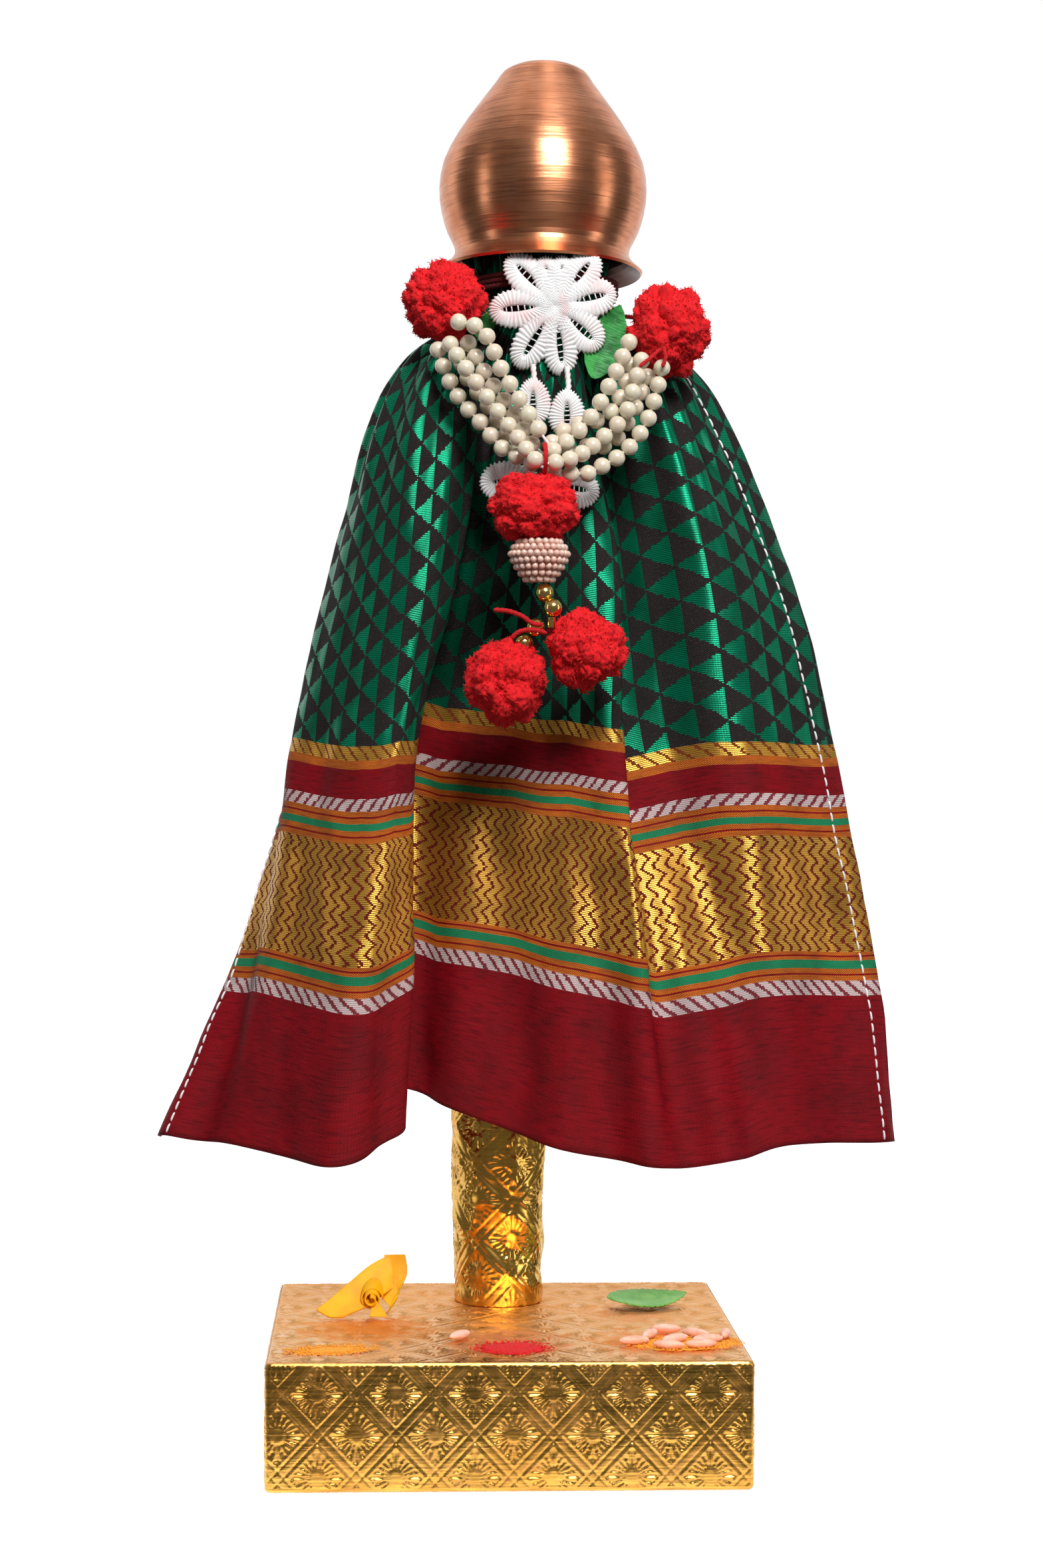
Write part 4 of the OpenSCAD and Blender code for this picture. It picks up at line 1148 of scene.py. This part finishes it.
# ---- Yellow ribbon flower ----
# Rows of points across each ribbon, from its left or lower end
RIBBON_PANELS = [
    [[(-41.5, 1, 29.2), (-38.5, -0.4, 27.9), (-35.6, -1, 27.9)],
     [(-38, 3, 31.6), (-35, 1.2, 29.8), (-32.6, 0.2, 29)],
     [(-34, 5, 34.8), (-31.6, 3, 31.8), (-29.4, 1.4, 30.2)],
     [(-29.5, 7, 38.2), (-28, 4.8, 34.6), (-26.8, 3.2, 32)],
     [(-25, 8.4, 40.4), (-24.4, 6.6, 36.6), (-24.6, 5, 33.4)]],
    [[(-26.5, 9.4, 40.2), (-24, 8.8, 40.4), (-21.8, 7.6, 40.6)],
     [(-25.6, 7.6, 37.6), (-23.6, 6.2, 36.6), (-21.4, 5.4, 36.2)],
     [(-26.2, 5.6, 34.4), (-23.4, 3.8, 32), (-24.6, 3.4, 30.6)],
     [(-27.2, 4.6, 31.8), (-25, 3, 29.4), (-25.6, 3.2, 28.2)]],
    [[(-29.8, 1, 32.6), (-28.2, 0.4, 31.6)],
     [(-29.2, 0.2, 30.2), (-26.8, -0.2, 30)],
     [(-29.6, -0.6, 28.1), (-25.6, -0.8, 28)]]]


def build_ribbon():
    shape = Shape()
    for rows in RIBBON_PANELS:
        grid = spline(spline(np.array(rows), 10).transpose(1, 0, 2), 12).transpose(1, 0, 2)
        columns, rows = grid.shape[:2]
        run = np.meshgrid(np.arange(columns) * 0.5, np.arange(rows) * 0.3, indexing="ij")
        shape.sheet(grid, np.full((columns, rows), 0.4), np.stack(run, -1))
    a = np.linspace(0, 4.6 * math.pi, 52)
    roll = 2.4 - 0.13 * a
    curl = np.stack([-29.2 + roll * np.cos(a), 3.4 - 0.2 * a, 32.4 + roll * np.sin(a)], 1)
    band = np.stack([curl + (0, -1.6, -0.8), curl + (0, 0.2, 0), curl + (0.4, 2, 0.8)], 1)
    return shape.sheet(spline(band.transpose(1, 0, 2), 6).transpose(1, 0, 2), np.full((52, 13), 0.35))


make_piece("ribbon_flower", build_ribbon(), ribbon, replaces=["yellow_ribbon_flower"])


# ---- Powders and rice ----
def build_powder(centre, radii, turn, seed, thick=0.35, grains=70, spread=1.5):
    """A thin smear with a ragged edge and loose grains round it."""
    draw = np.random.default_rng(seed)
    sides, rings = 90, 16
    angle = turns(sides)
    edge = np.stack([np.cos(angle) * 1.5, np.sin(angle) * 1.5, np.full(sides, seed)], 1)
    ragged = 1 + 0.2 * wobble(edge, 1, 4)
    c, s = math.cos(turn), math.sin(turn)

    def on_top(x, y):
        return centre[0] + c * x - s * y, centre[1] + s * x + c * y

    points = [(centre[0], centre[1], centre[2] + thick)]
    for k in range(1, rings + 1):
        share = k / rings
        x, y = radii[0] * share * ragged * np.cos(angle), radii[1] * share * ragged * np.sin(angle)
        pile = wobble(np.stack([x, y, np.full(sides, seed)], 1), 1.8, 3)
        heap = np.maximum(0.02, thick * (1 - share**3) * (1 + 0.6 * pile))
        z = centre[2] - 0.1 + (0.1 + heap) * (k < rings)
        points += list(np.stack([*on_top(x, y), z], 1))
    faces = [(0, 1 + q, 1 + (q + 1) % sides) for q in range(sides)]
    faces += list(quads(rings, sides, flip=True) + 1)
    faces.append(tuple(1 + (rings - 1) * sides + q for q in range(sides))[::-1])
    shape = Shape().add(points, faces)
    for _ in range(grains):
        way, far, size = draw.uniform(0, 2 * math.pi), draw.uniform(0.6, spread), draw.uniform(0.1, 0.28)
        x, y = radii[0] * far * math.cos(way), radii[1] * far * math.sin(way)
        shape.ball((*on_top(x, y), centre[2] + 0.1 + size * 0.5), (size, size * 0.9, size * 0.6), 4, 6)
    return shape


TOP = 27.4
make_piece("turmeric_smear", build_powder((-37.5, -35, TOP), (8.5, 4.5), 0.25, 21, 0.12, 420, 1.25), turmeric,
           replaces=["turmeric_spot"])
make_piece("kumkum_smear", build_powder((1, -34, TOP), (7, 6), 0.1, 23, 0.45, 420, 1.3), kumkum,
           replaces=["kumkum_spot"])
make_piece("rice_dust", build_powder((38, -30, TOP), (11, 7), 0.1, 24, 0.1, 420, 1.2), turmeric)


# ---- CAD nodes that stay, with their finish ----
KEPT = {"base_block": wood, "pole_dowel": wood, "kalash_pot": copper, "pearl_threads": cotton,
        "bead_core": seed_pearl, "bead_seed_pearls": seed_pearl, "gold_bead_upper": bead_gold,
        "gold_bead_lower": bead_gold, "gold_crimp": bead_gold, "tassel_left_beads": bead_gold,
        "tassel_left_thread": red_thread, "tassel_right_thread": red_thread, "rice_grains": rice,
        **{f"pearl_strand_{k}": pearl for k in range(1, 6)}}
for node, material in KEPT.items():
    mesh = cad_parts[node].data
    mesh.materials.clear()
    mesh.materials.append(material)
    mesh.polygons.foreach_set("material_index", np.zeros(len(mesh.polygons), np.int32))


# ---- Floor and light ----
def make_floor(name, half_x, half_y, height, reflected):
    """A pale floor. Only the part close to the base shows in the foil."""
    s = Finish(name, roughness=0.9, emission_color=(1, 1, 1), emission_strength=0.75)
    s.set(base_color=s.mix(s.noise(s.place(), 60, 3), (0.76, 0.76, 0.76), (0.8, 0.8, 0.8)))
    mesh = bpy.data.meshes.new(name)
    corners = [(half_x * math.cos(a), half_y * math.sin(a), height) for a in turns(64)]
    mesh.from_pydata(corners, [], [tuple(range(64))])
    mesh.materials.append(s.material)
    floor = bpy.data.objects.new(name, mesh)
    floor.visible_glossy, floor.visible_diffuse = reflected, False
    bpy.context.scene.collection.objects.link(floor)


def make_light(name, at, size, power, target=(0.0, 0.0, 0.16)):
    data = bpy.data.lights.new(name, "AREA")
    data.shape, data.size, data.size_y = "RECTANGLE", size[0], size[1]
    data.energy = power
    light = bpy.data.objects.new(name, data)
    light.location = at
    light.rotation_euler = (Vector(target) - Vector(at)).to_track_quat("-Z", "Y").to_euler()
    bpy.context.scene.collection.objects.link(light)


def make_world():
    """What the object reflects: dark in front and below, a dim ceiling, and white behind and beside it.
    The camera sees plain white."""
    world = bpy.data.worlds.new("studio")
    world.use_nodes = True
    n = Nodes(world.node_tree)
    _, to_back, to_sky = n.split(n.new("TexCoord").outputs["Generated"])
    back, sky = [n.times_plus(value, 0.5, 0.5) for value in (to_back, to_sky)]
    wall = n.ramp(back, [(0.66, 0.0), (0.74, 0.95)])
    below = n.ramp(sky, [(0.22, 0.1), (0.38, 0.11)])
    above = n.ramp(sky, [(0.55, 0.0), (0.85, 0.12)])
    light = n.mix(1, wall, n.plus(below, above), "LIGHTEN")
    seen = n.mix(n.new("LightPath").outputs["Is Camera Ray"], light, (1, 1, 1))
    background = n.new("Background")
    n.put(background.inputs[0], seen)
    n.put(n.new("OutputWorld").inputs[0], background.outputs[0])
    bpy.context.scene.world = world


make_floor("floor", 6, 6, -0.0001, False)
make_floor("floor_near", 0.13, 0.077, 0.0, True)
make_world()
make_light("key", (0.2, -0.95, 1.0), (0.45, 0.45), 18)
make_light("left_strip", (-1.1, -0.35, 0.35), (0.2, 0.9), 0.9)
make_light("right_strip", (1.1, -0.35, 0.35), (0.26, 0.9), 1.6)
make_light("top", (0.0, 0.35, 1.3), (0.9, 0.7), 2)
bpy.context.scene.view_settings.view_transform = "Standard"
